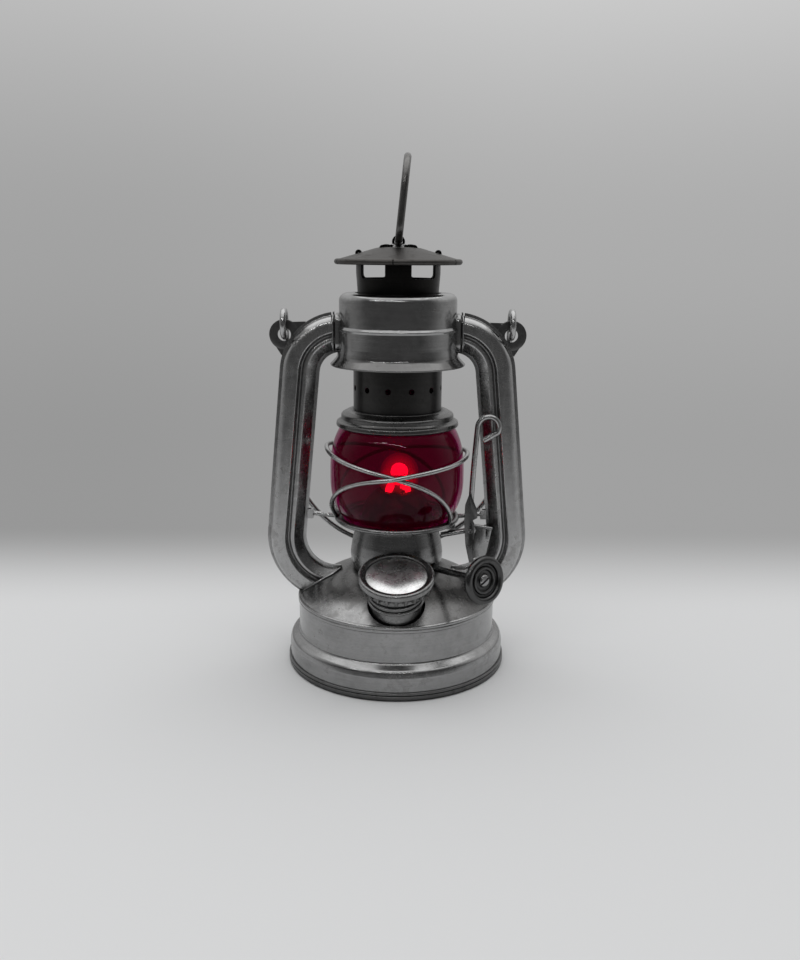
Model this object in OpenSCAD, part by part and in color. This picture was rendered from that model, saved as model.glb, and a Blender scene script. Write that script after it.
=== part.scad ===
// Small tubular lantern with a red globe, a bail and a lift ring.
// Millimetres, +Z up, the origin at the centre of the foot rim on the ground, the filler cap towards -Y.

/* [Sheet and wire] */
// Thickness of the sheet metal
sheet = 0.6; // [0.5:0.05:0.7]
// Diameter of the globe guard wire
guard_wire = 1.9; // [1.5:0.1:2.3]
// Diameter of the lift lever wire
lever_wire = 2.3; // [1.9:0.1:2.6]
// Diameter of the bail wire
bail_wire = 2.5; // [2:0.1:3]
// Diameter of the lift ring wire
ring_wire = 3; // [2.5:0.1:3.4]
// Gap between pieces that move past each other
gap = 0.35; // [0.3:0.05:0.5]
// Radial clearance of a pin in its hole
pin_gap = 0.06; // [0.03:0.01:0.09]

/* [Tank] */
// Radius of the rolled foot rim
rim_r = 48; // [47:0.5:58]
// Height of the rolled foot rim
rim_h = 3.5; // [2.8:0.1:4.5]
// Inset of the tank's lower band from the foot rim
band_inset = 0.7; // [0.4:0.1:1.2]
// Height of the tank's lower band
band_h = 6.4; // [4:0.1:9]
// Radius of the tank's upper wall
tank_r = 43.1; // [42:0.1:45]
// Height of the tank up to the dome's edge
tank_h = 30.7; // [26:0.1:38]
// Rise of the dome from its edge to the burner cup
dome_rise = 11.3; // [9:0.1:13]

/* [Filler] */
// Lean of the filler neck from the vertical
neck_tilt = 16.5; // [12:0.5:20]
// Radius of the filler neck under its thread
neck_r = 11.2; // [9.5:0.1:11.4]
// Height of the thread over the neck
thread_h = 0.55; // [0.3:0.05:0.6]
// Rise of the thread in one turn
thread_pitch = 2.6; // [2:0.1:3]
// Radius of the filler cap's rim
cap_r = 15.6; // [14.8:0.1:16]
// Number of scallops around the cap's skirt
cap_scallops = 24; // [12:1:30]
// Depth of the groove between the cap's rim and its domed top
cap_groove = 1; // [0.6:0.1:1.2]
// Rise of the cap's domed top over its rim
cap_crown = 0.8; // [0:0.1:1]

/* [Burner] */
// Widest radius of the burner cup
cup_r = 20; // [19:0.1:20.3]
// Height of the burner cup
cup_h = 20.3; // [18:0.1:24]
// Height of the burner cone over the cup
cone_h = 15; // [12:0.1:17]
// Width of the wick
wick_w = 10.4; // [8:0.1:11]
// Thickness of the wick
wick_t = 2.2; // [1.8:0.1:2.4]
// Turn of the wick shaft from straight ahead towards +X
knob_angle = 37; // [32:1:48]
// Upward slope of the wick shaft
shaft_rise = 6.5; // [2:0.5:8]
// Radius of the wick shaft
shaft_r = 1.5; // [1.2:0.1:1.7]
// Length of the wick shaft from the wick to the knob
shaft_l = 52; // [44:0.5:58]
// Radius of the wick knob
knob_r = 10; // [8:0.1:11]
// Radius of the wick gears
gear_r = 3.6; // [3:0.1:4]

/* [Globe] */
// Widest radius of the globe
globe_r = 28.9; // [27:0.1:29]
// Height of the globe
globe_h = 41.6; // [38:0.1:50]
// Thickness of the glass
glass = 1.6; // [1.2:0.1:2]
// Radius of the globe plate
plate_r = 27.2; // [26.5:0.1:28]
// Radius of the guard wires around the globe
guard_r = 30.3; // [30.2:0.1:31]

/* [Chimney] */
// Radius of the perforated chimney tube
vent_r = 18.7; // [18:0.1:19.2]
// Radius of a vent hole
vent_hole_r = 1.25; // [0.8:0.05:1.6]
// Number of vent holes
vent_count = 12; // [8:1:16]
// Length of the chimney tube between the globe holder and the bell
vent_l = 18.7; // [16:0.1:24]
// Radius of the windowed chimney top
flue_r = 16.8; // [15.5:0.1:17]
// Length of the chimney top over the top chamber
flue_l = 11.4; // [10:0.1:14]
// Radius of the hood's brim
hood_r = 26.4; // [24:0.1:32]
// Rise of the hood from its brim
hood_rise = 5.9; // [4:0.1:8]
// Turns of the chimney spring
spring_turns = 5; // [4:1:6]
// Diameter of the spring wire
spring_wire = 1.2; // [0.8:0.1:1.4]

/* [Top chamber] */
// Radius of the bell mouth
bell_r = 28.4; // [27:0.1:30]
// Radius of the chamber wall
chamber_r = 25; // [24:0.1:26]
// Height of the chamber from the bell mouth to its top
chamber_h = 29.7; // [28:0.1:34]

/* [Side tubes] */
// Half width of a tube with its seam flanges
tube_w = 8.4; // [7.8:0.1:8.8]
// Width of a seam flange
flange_w = 1.5; // [1.2:0.1:1.8]
// Half depth of a tube over its outer lobe
tube_d = 5.7; // [5:0.1:6]
// Radius of the upper bend's centre line
bend_top_r = 17.6; // [16:0.1:21]
// Radius of the lower bend's centre line
bend_foot_r = 22.1; // [20:0.1:23]
// Height of the lower bend's centre over the tank
bend_foot_h = 25.1; // [24:0.1:28]

/* [Bail and lift ring] */
// Radius of the bail's hole in an ear
ear_hole_r = 2.8; // [2.7:0.1:3.2]
// Width of an ear around its hole
ear_w = 3.5; // [3.2:0.1:4]
// Length of the bail from its eyes to its grip
bail_l = 106.5; // [103.5:0.5:119.5]
// Backward lean of the hanging bail
bail_lean = 10; // [9:0.5:14]
// Height of the lift ring over its pivot
ring_h = 33.4; // [28:0.1:40]
// Width of the lift ring
ring_w = 25; // [22:0.5:28]
// Sideways lean of the lift ring
ring_lean = 6; // [0:1:10]

/* [Lift lever] */
// Length of the lever from its pivot to the finger loop
lever_l = 45; // [38:0.5:50]
// Radius of the finger loop
loop_r = 4.5; // [4:0.1:5]
// Length of the lever's crank under the globe plate
crank_l = 12.6; // [11.5:0.1:12.8]

/* [Hidden] */
$fn = 48;
tiny = 0.01;
// A cutting block reaches this far past what it cuts
far = 90;

// Tank heights and radii, from the ground up
band_r = rim_r - band_inset;
floor_z = 1.6;
band_top = rim_h + band_h;
shoulder_r = band_r - tank_r;
bead_r = tank_r + 0.4;
bead_h = 3;
edge_r = tank_r - 0.4;
partition_z = tank_h - bead_h - 1.2 - sheet;
partition_top = partition_z + sheet;
cup_base_r = cup_r - 1.2;
cup_z = tank_h + dome_rise;
cup_top = cup_z + cup_h;
cup_mouth_r = cup_r - 2.2;

// Filler neck: a point on its axis near the dome, then heights along the axis
neck_y = tank_r - 11.1;
neck_z = tank_h + 4.9;
neck_top = 12.5;
neck_bore_r = neck_r - sheet;
crest_r = neck_r + thread_h;
neck_hole_r = crest_r + 0.1;
gasket_h = 0.7;
cap_roof = neck_top + 2 * gap + gasket_h;
cap_top = cap_roof + 2.1;
skirt_r = crest_r + gap + sheet;
skirt_bottom = neck_top - 3.4;

// Burner: the collar on the partition, the plug in it and the wick in the plug
collar_r = 12.8;
plug_r = 10;
plug_z = partition_top + 4.9;
plug_top = plug_z + 1.2;
wick_gap = 0.35;
wick_tube_wall = 0.5;
wick_tube_w = wick_w + 2 * (wick_gap + wick_tube_wall);
wick_tube_t = wick_t + 2 * (wick_gap + wick_tube_wall);
wick_travel = 7;
wick_bottom = floor_z + sheet + wick_travel + 1;
cone_z = cup_top;
cone_top = cone_z + cone_h;
mouth_gap = 1;
mouth_r = norm([wick_tube_w, wick_tube_t]) / 2 + mouth_gap;
wick_tube_top = cone_top + 0.7;
wick_top = wick_tube_top + 1;
gear_gap = 0.3;
shaft_y = wick_t / 2 + gear_gap + gear_r;
shaft_z = cup_z + 1.1;
gear_w = 1.4;
gear_x = 2.6;
gear_teeth = 12;
bearing_x = [-7.5, 8];
bearing_w = 1;
shaft_tail = 1.5;
screw_r = shaft_r - 0.5;
screw_l = 4;

// Fall of a guard wire over a share of its way, from an eased start
function guard_slope(u) = guard_lean * (sqrt(u * u + guard_ease ^ 2) - guard_ease);

// Globe plate and what stands on it
plate_z = cup_top + 1.5;
roll_r = 1.1;
plate_hole_r = cup_mouth_r - 1;
disc_z = plate_z + 0.4;
disc_top = disc_z + sheet;
seat_h = 0.6;
globe_z = disc_top + seat_h;
globe_top = globe_z + globe_h;
globe_belly = 17.5;
globe_foot_r = globe_r - 5.3;
globe_neck_r = globe_r - 5.9;
guard_top = globe_z + 30.9;
guard_lean = 9;
guard_ease = 0.08;
guard_foot_z = plate_z + 2 * roll_r - 0.4;
guard_drop = guard_top - guard_foot_z - guard_slope(1);
guard_foot_right = 147;
guard_foot_left = 172;
guard_crossing = 180 * guard_foot_left / (guard_foot_left + guard_foot_right);
arm_z = plate_z + 2.2;
arm_r = 1;

// Globe holder, chimney and hood
holder_lap = 1.9;
vent_lap = 0.4;
holder_z = globe_top - holder_lap;
holder_r = globe_neck_r + 2.9;
holder_h = 7.4;
holder_top = holder_z + holder_h;
bell_z = holder_top + vent_l;
vent_hole_z = holder_top + 9.5;
seat_z = bell_z + 2.8;
seat_t = 1;
seat_rim = 1.2;
chamber_top = bell_z + chamber_h;
spring_r = flue_r + 3.6;
spring_side_rings = 8;
flue_flare = 0.6;
hood_z = chamber_top + flue_l;
brim_roll_r = 1.15;
brim_top = hood_z + 2 * brim_roll_r;
hood_top_r = 8;
hood_top = brim_top + hood_rise - 2 * brim_roll_r + 1;
window_z = hood_z - 5.5;
window_h = 5.7;
window_from = 17;
window_to = 60;
ring_z = hood_top + sheet + ring_wire / 2 + pin_gap;
strap_t = sheet + 0.2;
strap_rivet_x = [-5, 5];
strap_rivet_r = 0.9;
strap_head_r = 1.4;
strap_head_h = 0.6;
tongue_r = flue_r + flue_flare - sheet;
tongue_w = 6;
tongue_gap = 0.3;
tongue_z = hood_z + 1;

// Side tubes: both bends lie in the plane Y = 0, and a straight run touches both
lobe_out_u = 3.1;
lobe_in_u = -4;
wall_u = tube_w - flange_w;
lobe_out_r = wall_u - lobe_out_u;
lobe_in_r = wall_u + lobe_in_u;
lobe_out_v = tube_d - lobe_out_r;
lobe_in_v = tube_d - 0.6 - lobe_in_r;
groove_v = tube_d - 2.4;
bend_top_x = chamber_r - 1.2;
bend_top_z = bell_z + 13.6 - bend_top_r;
bend_foot_x = tank_r - 17;
bend_foot_z = tank_h + bend_foot_h;
bend_dx = bend_top_x - bend_foot_x;
bend_dz = bend_top_z - bend_foot_z;
bend_span = norm([bend_dx, bend_dz]);
splay = atan2(bend_dz, bend_dx) - acos((bend_foot_r - bend_top_r) / bend_span);
run_l = sqrt(bend_span ^ 2 - (bend_foot_r - bend_top_r) ^ 2);
foot_sweep = 102;
ear_angle = 34.5;
ear_reach = 2.8;
ear_d = bend_top_r + tube_w + ear_reach;
ear_x = bend_top_x + ear_d * cos(ear_angle);
ear_z = bend_top_z + ear_d * sin(ear_angle);
ear_r = ear_hole_r + ear_w;
// X of a tube's inner edge at a height on its straight run
function tube_inner_x(z) =
    bend_top_x + (bend_top_r - tube_w) * cos(splay)
    + (bend_top_z + (bend_top_r - tube_w) * sin(splay) - z) * tan(splay);

// Bail: its eyes ring the upper edge of the ears, and it turns about the eyes' centres
eye_z = ear_z + ear_hole_r + ear_w / 2;
eye_r = ear_w / 2 + bail_wire / 2 + 2.4;
bail_leg = bail_l - ear_x;

// Lift lever: its pivot, the catch in front of it and the apron behind it
lever_x = plate_r + 4.3;
lever_y = -(tube_d + 3.3);
lever_z = plate_z - 2.4;
lever_eye_r = 2.4;
lever_eye_w = lever_wire + 0.4;
lever_lean = 2.8;
rivet_r = 1;
crank_slope = 10.6;
lug_w = 6;
lug_t = 2.4;
lug_drop = 2.4;
catch_y = lever_y - lever_eye_w / 2 - 0.55;
catch_t = 0.8;
apron_y = -(tube_d + 0.5);
apron_t = 0.6;
ledge_r = 0.8;

// Outline helpers
function arc(x, y, r, from, to, steps) =
    [for (i = [0:steps]) let (a = from + (to - from) * i / steps) [x + r * cos(a), y + r * sin(a)]];
function backwards(list) = [for (i = [len(list) - 1:-1:0]) list[i]];
function unit(v) = v / norm(v);
function side_normal(path, i) = let (d = unit(path[i + 1] - path[i])) [-d[1], d[0]];
// A path moved sideways by t: inwards for an outline that climbs
function moved(path, t) = [
    for (i = [0:len(path) - 1])
    let (
        before = side_normal(path, max(i - 1, 0)),
        after = side_normal(path, min(i, len(path) - 2)),
        middle = unit(before + after)
    )
    path[i] + middle * t / (middle * before)
];
function sheet_outline(path, t) = concat(path, backwards(moved(path, t)));

// A sheet pressing turned about Z, from its outer outline
module turned_sheet(path, t = sheet) {
    rotate_extrude()
        polygon(sheet_outline(path, t));
}

// A ring about Z with a rectangular section
module washer(r_in, r_out, z, h) {
    translate([0, 0, z])
        difference() {
            cylinder(h = h, r = r_out);
            translate([0, 0, -1])
                cylinder(h = h + 2, r = r_in);
        }
}

// A round rod between two points
module rod(from, to, r) {
    d = to - from;
    translate(from)
        rotate([0, acos(d[2] / norm(d)), atan2(d[1], d[0])])
            cylinder(h = norm(d), r = r);
}

// A wire bend in the XY plane about the origin
module wire_bend(bend_r, r, from, to) {
    rotate([0, 0, from])
        rotate_extrude(angle = to - from)
            translate([bend_r, 0])
                circle(r = r);
}

// A closed tube along points that run around the Z axis
function tube_ring(p, tangent, r, sides) =
    let (
        out = unit([p[0], p[1], 0]),
        across = unit(cross(tangent, out)),
        up = cross(across, tangent)
    )
    [for (j = [0:sides - 1]) p + r * (cos(360 * j / sides) * up + sin(360 * j / sides) * across)];
module swept_tube(points, r, sides) {
    last = len(points) - 1;
    rings = [
        for (i = [0:last])
        tube_ring(points[i], unit(points[min(i + 1, last)] - points[max(i - 1, 0)]), r, sides)
    ];
    corners = [for (ring = rings) each ring];
    walls = [
        for (i = [0:last - 1], j = [0:sides - 1])
        let (a = i * sides + j, b = i * sides + (j + 1) % sides)
        each [[a, a + sides, b], [b, a + sides, b + sides]]
    ];
    ends = [
        for (j = [1:sides - 2])
        each [[0, j, j + 1], [last * sides, last * sides + j + 1, last * sides + j]]
    ];
    polyhedron(points = corners, faces = concat(walls, ends));
}

// Outer outlines that more than one piece uses
dome_flat_r = cup_base_r + 0.6;
function dome_z(r) = cup_z - dome_rise * pow((r - dome_flat_r) / (edge_r - dome_flat_r), 1.5);
dome_path = concat(
    [for (i = [0:10]) let (r = edge_r + (dome_flat_r - edge_r) * i / 10) [r, dome_z(r)]],
    [[cup_base_r - sheet, cup_z]]
);
cup_path = concat(
    [for (i = [0:8]) let (h = 1.6 * i) [cup_r - 0.0273 * (h - 6.4) ^ 2, cup_z + h]],
    [[cup_mouth_r, cup_top]]
);
chamber_wall_top = chamber_top - 3;
chamber_path = concat(
    [[bell_r, bell_z], [bell_r - 1.2, bell_z + 1.6]],
    arc(chamber_r + 3.4, bell_z + 5.6, 3.4, 225, 180, 4),
    [[chamber_r, bell_z + 14.6], [chamber_r + 0.35, bell_z + 15.3], [chamber_r - 0.4, bell_z + 16.2]],
    arc(chamber_r - 3.4, chamber_wall_top, 3, 0, 90, 6),
    [[flue_r + flue_flare + 0.5, chamber_top]]
);
hood_path = [
    [hood_r - brim_roll_r, brim_top - 0.2],
    [hood_top_r + 1, hood_top - 0.3],
    [hood_top_r, hood_top],
    [tiny, hood_top]
];

// Everything under the dome's outer face
module dome_block() {
    rotate_extrude()
        polygon(concat([[0, 0], [far, 0], [far, tank_h]], dome_path, [[0, cup_z]]));
}

// Everything inside the chamber's outer face
module chamber_block() {
    rotate_extrude()
        polygon(concat([[0, bell_z]], chamber_path, [[0, chamber_top]]));
}

// Places the children on the filler neck's axis
module on_neck() {
    translate([0, -neck_y, neck_z])
        rotate([neck_tilt, 0, 0])
            children();
}

// The way through the dome for the filler neck
module neck_hole() {
    on_neck()
        translate([0, 0, -neck_r])
            cylinder(h = 3 * neck_r, r = neck_hole_r);
}

// Turns the children so that +X runs along the wick shaft
module on_burner() {
    rotate([0, 0, knob_angle - 90])
        children();
}

// Places the children on the wick shaft's axis, +Z outwards
module on_shaft() {
    on_burner()
        translate([0, shaft_y, shaft_z])
            rotate([0, 90 - shaft_rise, 0])
                children();
}

module tank_bottom() {
    color("gray")
        rotate_extrude()
            polygon([
                [0, floor_z], [rim_r - 2.6, floor_z], [rim_r - 2.2, 0.4], [rim_r - 1.6, 0], [rim_r - 0.6, 0],
                [rim_r, 0.6], [rim_r, rim_h - 0.6], [rim_r - 0.5, rim_h], [band_r - 1.2, rim_h],
                [band_r - 1.2, floor_z + sheet], [0, floor_z + sheet]
            ]);
}

module tank_wall() {
    color("lightgray")
        difference() {
            turned_sheet(concat(
                [[band_r, rim_h]],
                arc(band_r - shoulder_r, band_top, shoulder_r, 0, 80, 6),
                [[tank_r, band_top + shoulder_r + 0.8], [tank_r, tank_h - bead_h]],
                [[bead_r, tank_h - bead_h + 0.6], [bead_r, tank_h - 0.6]],
                [[edge_r, tank_h], [edge_r - 1.2, tank_h]]
            ));
            neck_hole();
        }
}

module tank_partition() {
    color("dimgray")
        difference() {
            translate([0, 0, partition_z])
                cylinder(h = sheet, r = tank_r - sheet);
            cylinder(h = far, r = plug_r);
            on_neck()
                translate([0, 0, -far / 2])
                    cylinder(h = far, r = neck_bore_r);
        }
}

module air_dome() {
    color("silver")
        difference() {
            turned_sheet(dome_path);
            cylinder(h = tank_h, r = rim_r);
            neck_hole();
            for (side = [0, 1])
                mirror([side, 0, 0])
                    foot_bore();
        }
}

module filler_neck() {
    thread_steps = 24;
    thread_to = neck_top - 1;
    thread_from = thread_to - 3 * thread_pitch;
    color("gray")
        difference() {
            on_neck()
                rotate_extrude()
                    polygon(concat(
                        [[neck_bore_r, -far / 4], [neck_r, -far / 4]],
                        [
                            for (i = [0:thread_steps])
                            let (w = thread_from + (thread_to - thread_from) * i / thread_steps)
                            [neck_r + thread_h * (1 - cos(360 * (w - thread_from) / thread_pitch)) / 2, w]
                        ],
                        [[neck_r, neck_top], [neck_bore_r, neck_top]]
                    ));
            translate([-far, -far, partition_top - far])
                cube([2 * far, 2 * far, far]);
        }
}

module filler_gasket() {
    color("black")
        on_neck()
            washer(neck_bore_r, crest_r - 0.2, neck_top + gap, gasket_h);
}

module filler_cap() {
    color("silver")
        on_neck()
            difference() {
                rotate_extrude()
                    polygon(concat(
                        [[0, cap_roof], [skirt_r - sheet, cap_roof], [skirt_r - sheet, skirt_bottom]],
                        [[skirt_r, skirt_bottom], [skirt_r, cap_roof - 0.5], [cap_r - 1, cap_roof - 0.1]],
                        arc(cap_r - 1.1, cap_top - 1.1, 1.1, -80, 150, 8),
                        [[cap_r - 2.9, cap_top - cap_groove], [cap_r - 6.1, cap_top + cap_crown / 8]],
                        [[cap_r - 11.6, cap_top + cap_crown], [0, cap_top + cap_crown]]
                    ));
                for (i = [0:cap_scallops - 1])
                    rotate([0, 0, 360 * i / cap_scallops])
                        translate([skirt_r + 0.75, 0, skirt_bottom - 1])
                            cylinder(h = 3, r = 1, $fn = 24);
            }
}

module burner_cup() {
    color("dimgray")
        difference() {
            turned_sheet(cup_path);
            on_shaft()
                cylinder(h = far, r = shaft_r + 0.7);
        }
}

module burner_collar() {
    color("darkgoldenrod")
        washer(plug_r, collar_r, partition_top, plug_z - partition_top);
}

module burner_plug() {
    color("goldenrod")
        difference() {
            union() {
                translate([0, 0, partition_z])
                    cylinder(h = plug_z - partition_z, r = plug_r);
                translate([0, 0, plug_z])
                    cylinder(h = plug_top - plug_z, r = collar_r + 0.7);
            }
            on_burner()
                translate([-wick_tube_w / 2, -wick_tube_t / 2, 0])
                    cube([wick_tube_w, wick_tube_t, far]);
        }
}

module burner_cone() {
    foot_r = cup_mouth_r - 2;
    color("goldenrod")
        turned_sheet(concat(
            [[cup_mouth_r + 0.4, cone_z], [cup_mouth_r + 0.4, cone_z + sheet], [foot_r, cone_z + sheet]],
            [
                for (a = [15:15:90])
                [mouth_r + (foot_r - mouth_r) * cos(a) ^ 0.7, cone_z + cone_h * sin(a)]
            ]
        ));
}

module shaft_bracket() {
    inner_y = wick_tube_t / 2 + 0.6;
    outer_y = shaft_y + 3;
    color("goldenrod")
        difference() {
            on_burner() {
                translate([bearing_x[0], inner_y, plug_top])
                    cube([bearing_x[1] - bearing_x[0], outer_y - inner_y, bearing_w]);
                for (x = [bearing_x[0], bearing_x[1] - bearing_w])
                    translate([x, inner_y, plug_top])
                        cube([bearing_w, outer_y - inner_y, shaft_z + 4 - plug_top]);
            }
            on_shaft()
                translate([0, 0, -far / 2])
                    cylinder(h = far, r = shaft_r + pin_gap);
        }
}

module wick_tube() {
    color("goldenrod")
        on_burner()
            difference() {
                translate([-wick_tube_w / 2, -wick_tube_t / 2, partition_z - 2])
                    cube([wick_tube_w, wick_tube_t, wick_tube_top - partition_z + 2]);
                translate([-wick_w / 2 - wick_gap, -wick_t / 2 - wick_gap, 0])
                    cube([wick_w + 2 * wick_gap, wick_t + 2 * wick_gap, far]);
                for (x = [-gear_x, gear_x])
                    translate([x - gear_w / 2 - 0.5, 0, shaft_z - gear_r])
                        cube([gear_w + 1, wick_tube_t, 2 * gear_r]);
            }
}

module wick() {
    color("ivory")
        on_burner()
            translate([-wick_w / 2, -wick_t / 2, wick_bottom])
                cube([wick_w, wick_t, wick_top - wick_bottom]);
}

module wick_shaft() {
    color("dimgray")
        on_shaft()
            difference() {
                translate([0, 0, bearing_x[0] - shaft_tail])
                    cylinder(h = shaft_l - bearing_x[0] + shaft_tail, r = shaft_r);
                translate([0, 0, shaft_l - screw_l])
                    cylinder(h = far, r = screw_r);
            }
}

module wick_gears() {
    color("goldenrod")
        on_shaft()
            for (z = [-gear_x, gear_x])
                translate([0, 0, z - gear_w / 2])
                    difference() {
                        union() {
                            cylinder(h = gear_w, r = gear_r - 0.7);
                            for (i = [0:gear_teeth - 1])
                                rotate([0, 0, 360 * i / gear_teeth])
                                    translate([0, -0.35, 0])
                                        cube([gear_r - 0.02, 0.7, gear_w]);
                        }
                        translate([0, 0, -1])
                            cylinder(h = gear_w + 2, r = shaft_r);
                    }
}

module wick_knob() {
    rim = 1.4;
    color("slategray")
        on_shaft()
            translate([0, 0, shaft_l])
                rotate_extrude()
                    polygon(concat(
                        [[shaft_r, -2.4], [2.6, -2.4], [3.2, -0.4], [knob_r - 3, -1]],
                        arc(knob_r - rim, 0.6, rim, -110, 130, 8),
                        [[knob_r - 4.2, 0.7], [knob_r - 4.6, 1.2], [knob_r - 5.4, 0.7], [3, 0.9], [2.6, 0]],
                        [[shaft_r, 0]]
                    ));
}

module knob_screw() {
    head_r = 2.4;
    color("lightgray")
        on_shaft()
            translate([0, 0, shaft_l])
                difference() {
                    union() {
                        translate([0, 0, -screw_l])
                            cylinder(h = screw_l, r = screw_r);
                        cylinder(h = 1.2, r = head_r);
                    }
                    translate([-head_r - 1, -0.3, 0.6])
                        cube([2 * head_r + 2, 0.6, 2]);
                }
}

// The rolled rim of the globe plate
module plate_roll() {
    rotate_extrude()
        translate([plate_r - roll_r, plate_z + roll_r])
            circle(r = roll_r);
}

module globe_plate() {
    hole_ring_r = plate_hole_r + 2.6;
    lug_z = disc_z - lug_drop;
    color("gray")
        difference() {
            union() {
                plate_roll();
                rotate_extrude() {
                    translate([plate_hole_r, disc_z])
                        square([plate_r - roll_r - plate_hole_r, sheet]);
                    translate([globe_foot_r - 1.8, disc_z])
                        square([1.8, sheet + seat_h]);
                }
                translate([lever_x - crank_l + 0.2, lever_y - lug_t / 2, lug_z])
                    cube([lug_w, lug_t, disc_top - lug_z]);
            }
            for (i = [0:23])
                rotate([0, 0, 15 * i])
                    translate([hole_ring_r, 0, disc_z - 1])
                        cylinder(h = 3, r = 0.9);
        }
}

// One guard wire: from a foot on the rim over the front, around the far side and back to the rim
module guard(foot, bump) {
    steps = 52;
    points = [
        for (i = [-steps / 2:steps / 2])
        let (
            u = abs(i) * 2 / steps,
            turn = foot * u,
            a = i < 0 ? 180 + turn : 180 - turn,
            over = bump * exp(-pow((turn - guard_crossing) / 16, 2)),
            r = guard_r + over - (guard_r - plate_r + roll_r) * pow(u, 24),
            drop = guard_slope(u) + guard_drop * pow(u, 6)
        )
        [r * cos(a), r * sin(a), guard_top - drop]
    ];
    swept_tube(points, guard_wire / 2, 8);
}

module globe_guard_left() {
    color("silver")
        mirror([1, 0, 0])
            guard(guard_foot_left, guard_wire + 0.4);
}

module globe_guard_right() {
    color("silver")
        guard(guard_foot_right, 0);
}

// A guide arm on the +X side: a rod from the rim to a fork around the tube's inner seam flange
module guide_arm() {
    tip_x = tube_inner_x(arm_z) + 0.1;
    fork_l = 2.4;
    fork_gap = 2 * (sheet + gap);
    fork_t = 0.8;
    fork_h = 4;
    color("silver") {
        difference() {
            rod([plate_r - roll_r, 0, plate_z + roll_r], [tip_x - fork_l, 0, arm_z], arm_r);
            plate_roll();
        }
        difference() {
            translate([tip_x - fork_l, -fork_gap / 2 - fork_t, arm_z - fork_h / 2])
                cube([fork_l, fork_gap + 2 * fork_t, fork_h]);
            translate([tip_x - fork_l + 0.8, -fork_gap / 2, arm_z - fork_h])
                cube([fork_l, fork_gap, 2 * fork_h]);
        }
    }
}

module guide_arm_left() {
    mirror([1, 0, 0])
        guide_arm();
}

module guide_arm_right() {
    guide_arm();
}

// Radius of the globe's outer face at a height over its foot
function globe_at(h) =
    h < globe_belly
    ? globe_r - (globe_r - globe_foot_r) * pow(1 - h / globe_belly, 2.4)
    : globe_r - (globe_r - globe_neck_r) * pow((h - globe_belly) / (globe_h - globe_belly), 3);

module globe() {
    steps = 18;
    color("crimson", 0.6)
        turned_sheet([for (i = [0:steps]) let (h = globe_h * i / steps) [globe_at(h), globe_z + h]], glass);
}

module globe_holder() {
    lip_r = globe_neck_r + 2;
    step_r = globe_neck_r + 0.9;
    color("dimgray")
        turned_sheet(concat(
            [[lip_r + 0.2, holder_z]],
            arc(holder_r - 1.3, holder_z + 1.4, 1.3, -50, 60, 5),
            [[lip_r - 0.6, holder_z + 3.1], [step_r, holder_z + 3.6]],
            arc(step_r - 1.6, holder_z + 4.9, 1.6, 0, 70, 4),
            [[vent_r + 0.9, holder_top - 0.3], [vent_r + 0.9, holder_top], [vent_r, holder_top]]
        ));
}

module chimney_tube() {
    tube_z = holder_top - sheet - vent_lap;
    color("dimgray")
        difference() {
            washer(vent_r - sheet, vent_r, tube_z, seat_z - tube_z);
            for (i = [0:vent_count - 1])
                rotate([0, 0, 360 * (i + 0.6) / vent_count])
                    translate([0, 3 - vent_r, vent_hole_z])
                        rotate([90, 0, 0])
                            cylinder(h = 6, r = vent_hole_r);
        }
}

module spring_seat() {
    color("gray")
        washer(flue_r, spring_r + spring_wire / 2 + seat_rim, seat_z, seat_t);
}

spring_play = 0.05;
spring_from = seat_z + seat_t + spring_wire / 2 + spring_play;
spring_to = chamber_top - sheet - spring_wire / 2 - spring_play;
spring_steps = spring_turns * spring_side_rings;
spring_points = [
    for (i = [0:spring_steps])
    let (a = 360 * i / spring_side_rings)
    [spring_r * cos(a), spring_r * sin(a), spring_from + (spring_to - spring_from) * i / spring_steps]
];
spring_gap = min([
    for (i = [0:spring_steps - 5], j = [i + 5:spring_steps])
    norm(spring_points[i] - spring_points[j])
]) - spring_wire;
echo(str("chimney spring: least gap to itself ", spring_gap, " mm"));

module chimney_spring() {
    color("silver")
        swept_tube(spring_points, spring_wire / 2, 6);
}

// Everything over the hood's lower face
module hood_block() {
    rotate_extrude()
        polygon(concat(moved(hood_path, sheet), [[0, hood_top - sheet], [0, far * 3], [hood_r, far * 3]]));
}

module chimney_top() {
    curl_r = 0.8;
    tongue_top = hood_top + 0.2 - (tongue_r - hood_top_r) * 0.2;
    color("saddlebrown") {
        difference() {
            turned_sheet([
                [flue_r, seat_z - 2], [flue_r, chamber_top], [flue_r + flue_flare, chamber_top + 8],
                [flue_r + flue_flare, hood_top]
            ]);
            hood_block();
            for (quarter = [0:1], front = [0:1])
                mirror([quarter, 0, 0])
                    mirror([0, front, 0])
                        window_cut();
        }
        for (side = [0, 1])
            mirror([side, 0, 0]) {
                translate([tongue_r, -tongue_w / 2, tongue_z])
                    cube([sheet, tongue_w, tongue_top - tongue_z]);
                translate([tongue_r, tongue_w / 2, tongue_top])
                    rotate([90, 0, 0])
                        cylinder(h = tongue_w, r = curl_r);
            }
    }
}

// One window through the +X, -Y quarter of the chimney top
module window_cut() {
    reach = 2 * flue_r;
    corner = 1.6;
    intersection() {
        translate([0, 0, window_z])
            linear_extrude(window_h)
                polygon([
                    [0, 0],
                    [reach * sin(window_from), -reach * cos(window_from)],
                    [reach * sin(window_to), -reach * cos(window_to)]
                ]);
        washer(flue_r - 2, flue_r + 4, window_z - corner, window_h + 2 * corner);
    }
}

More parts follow.
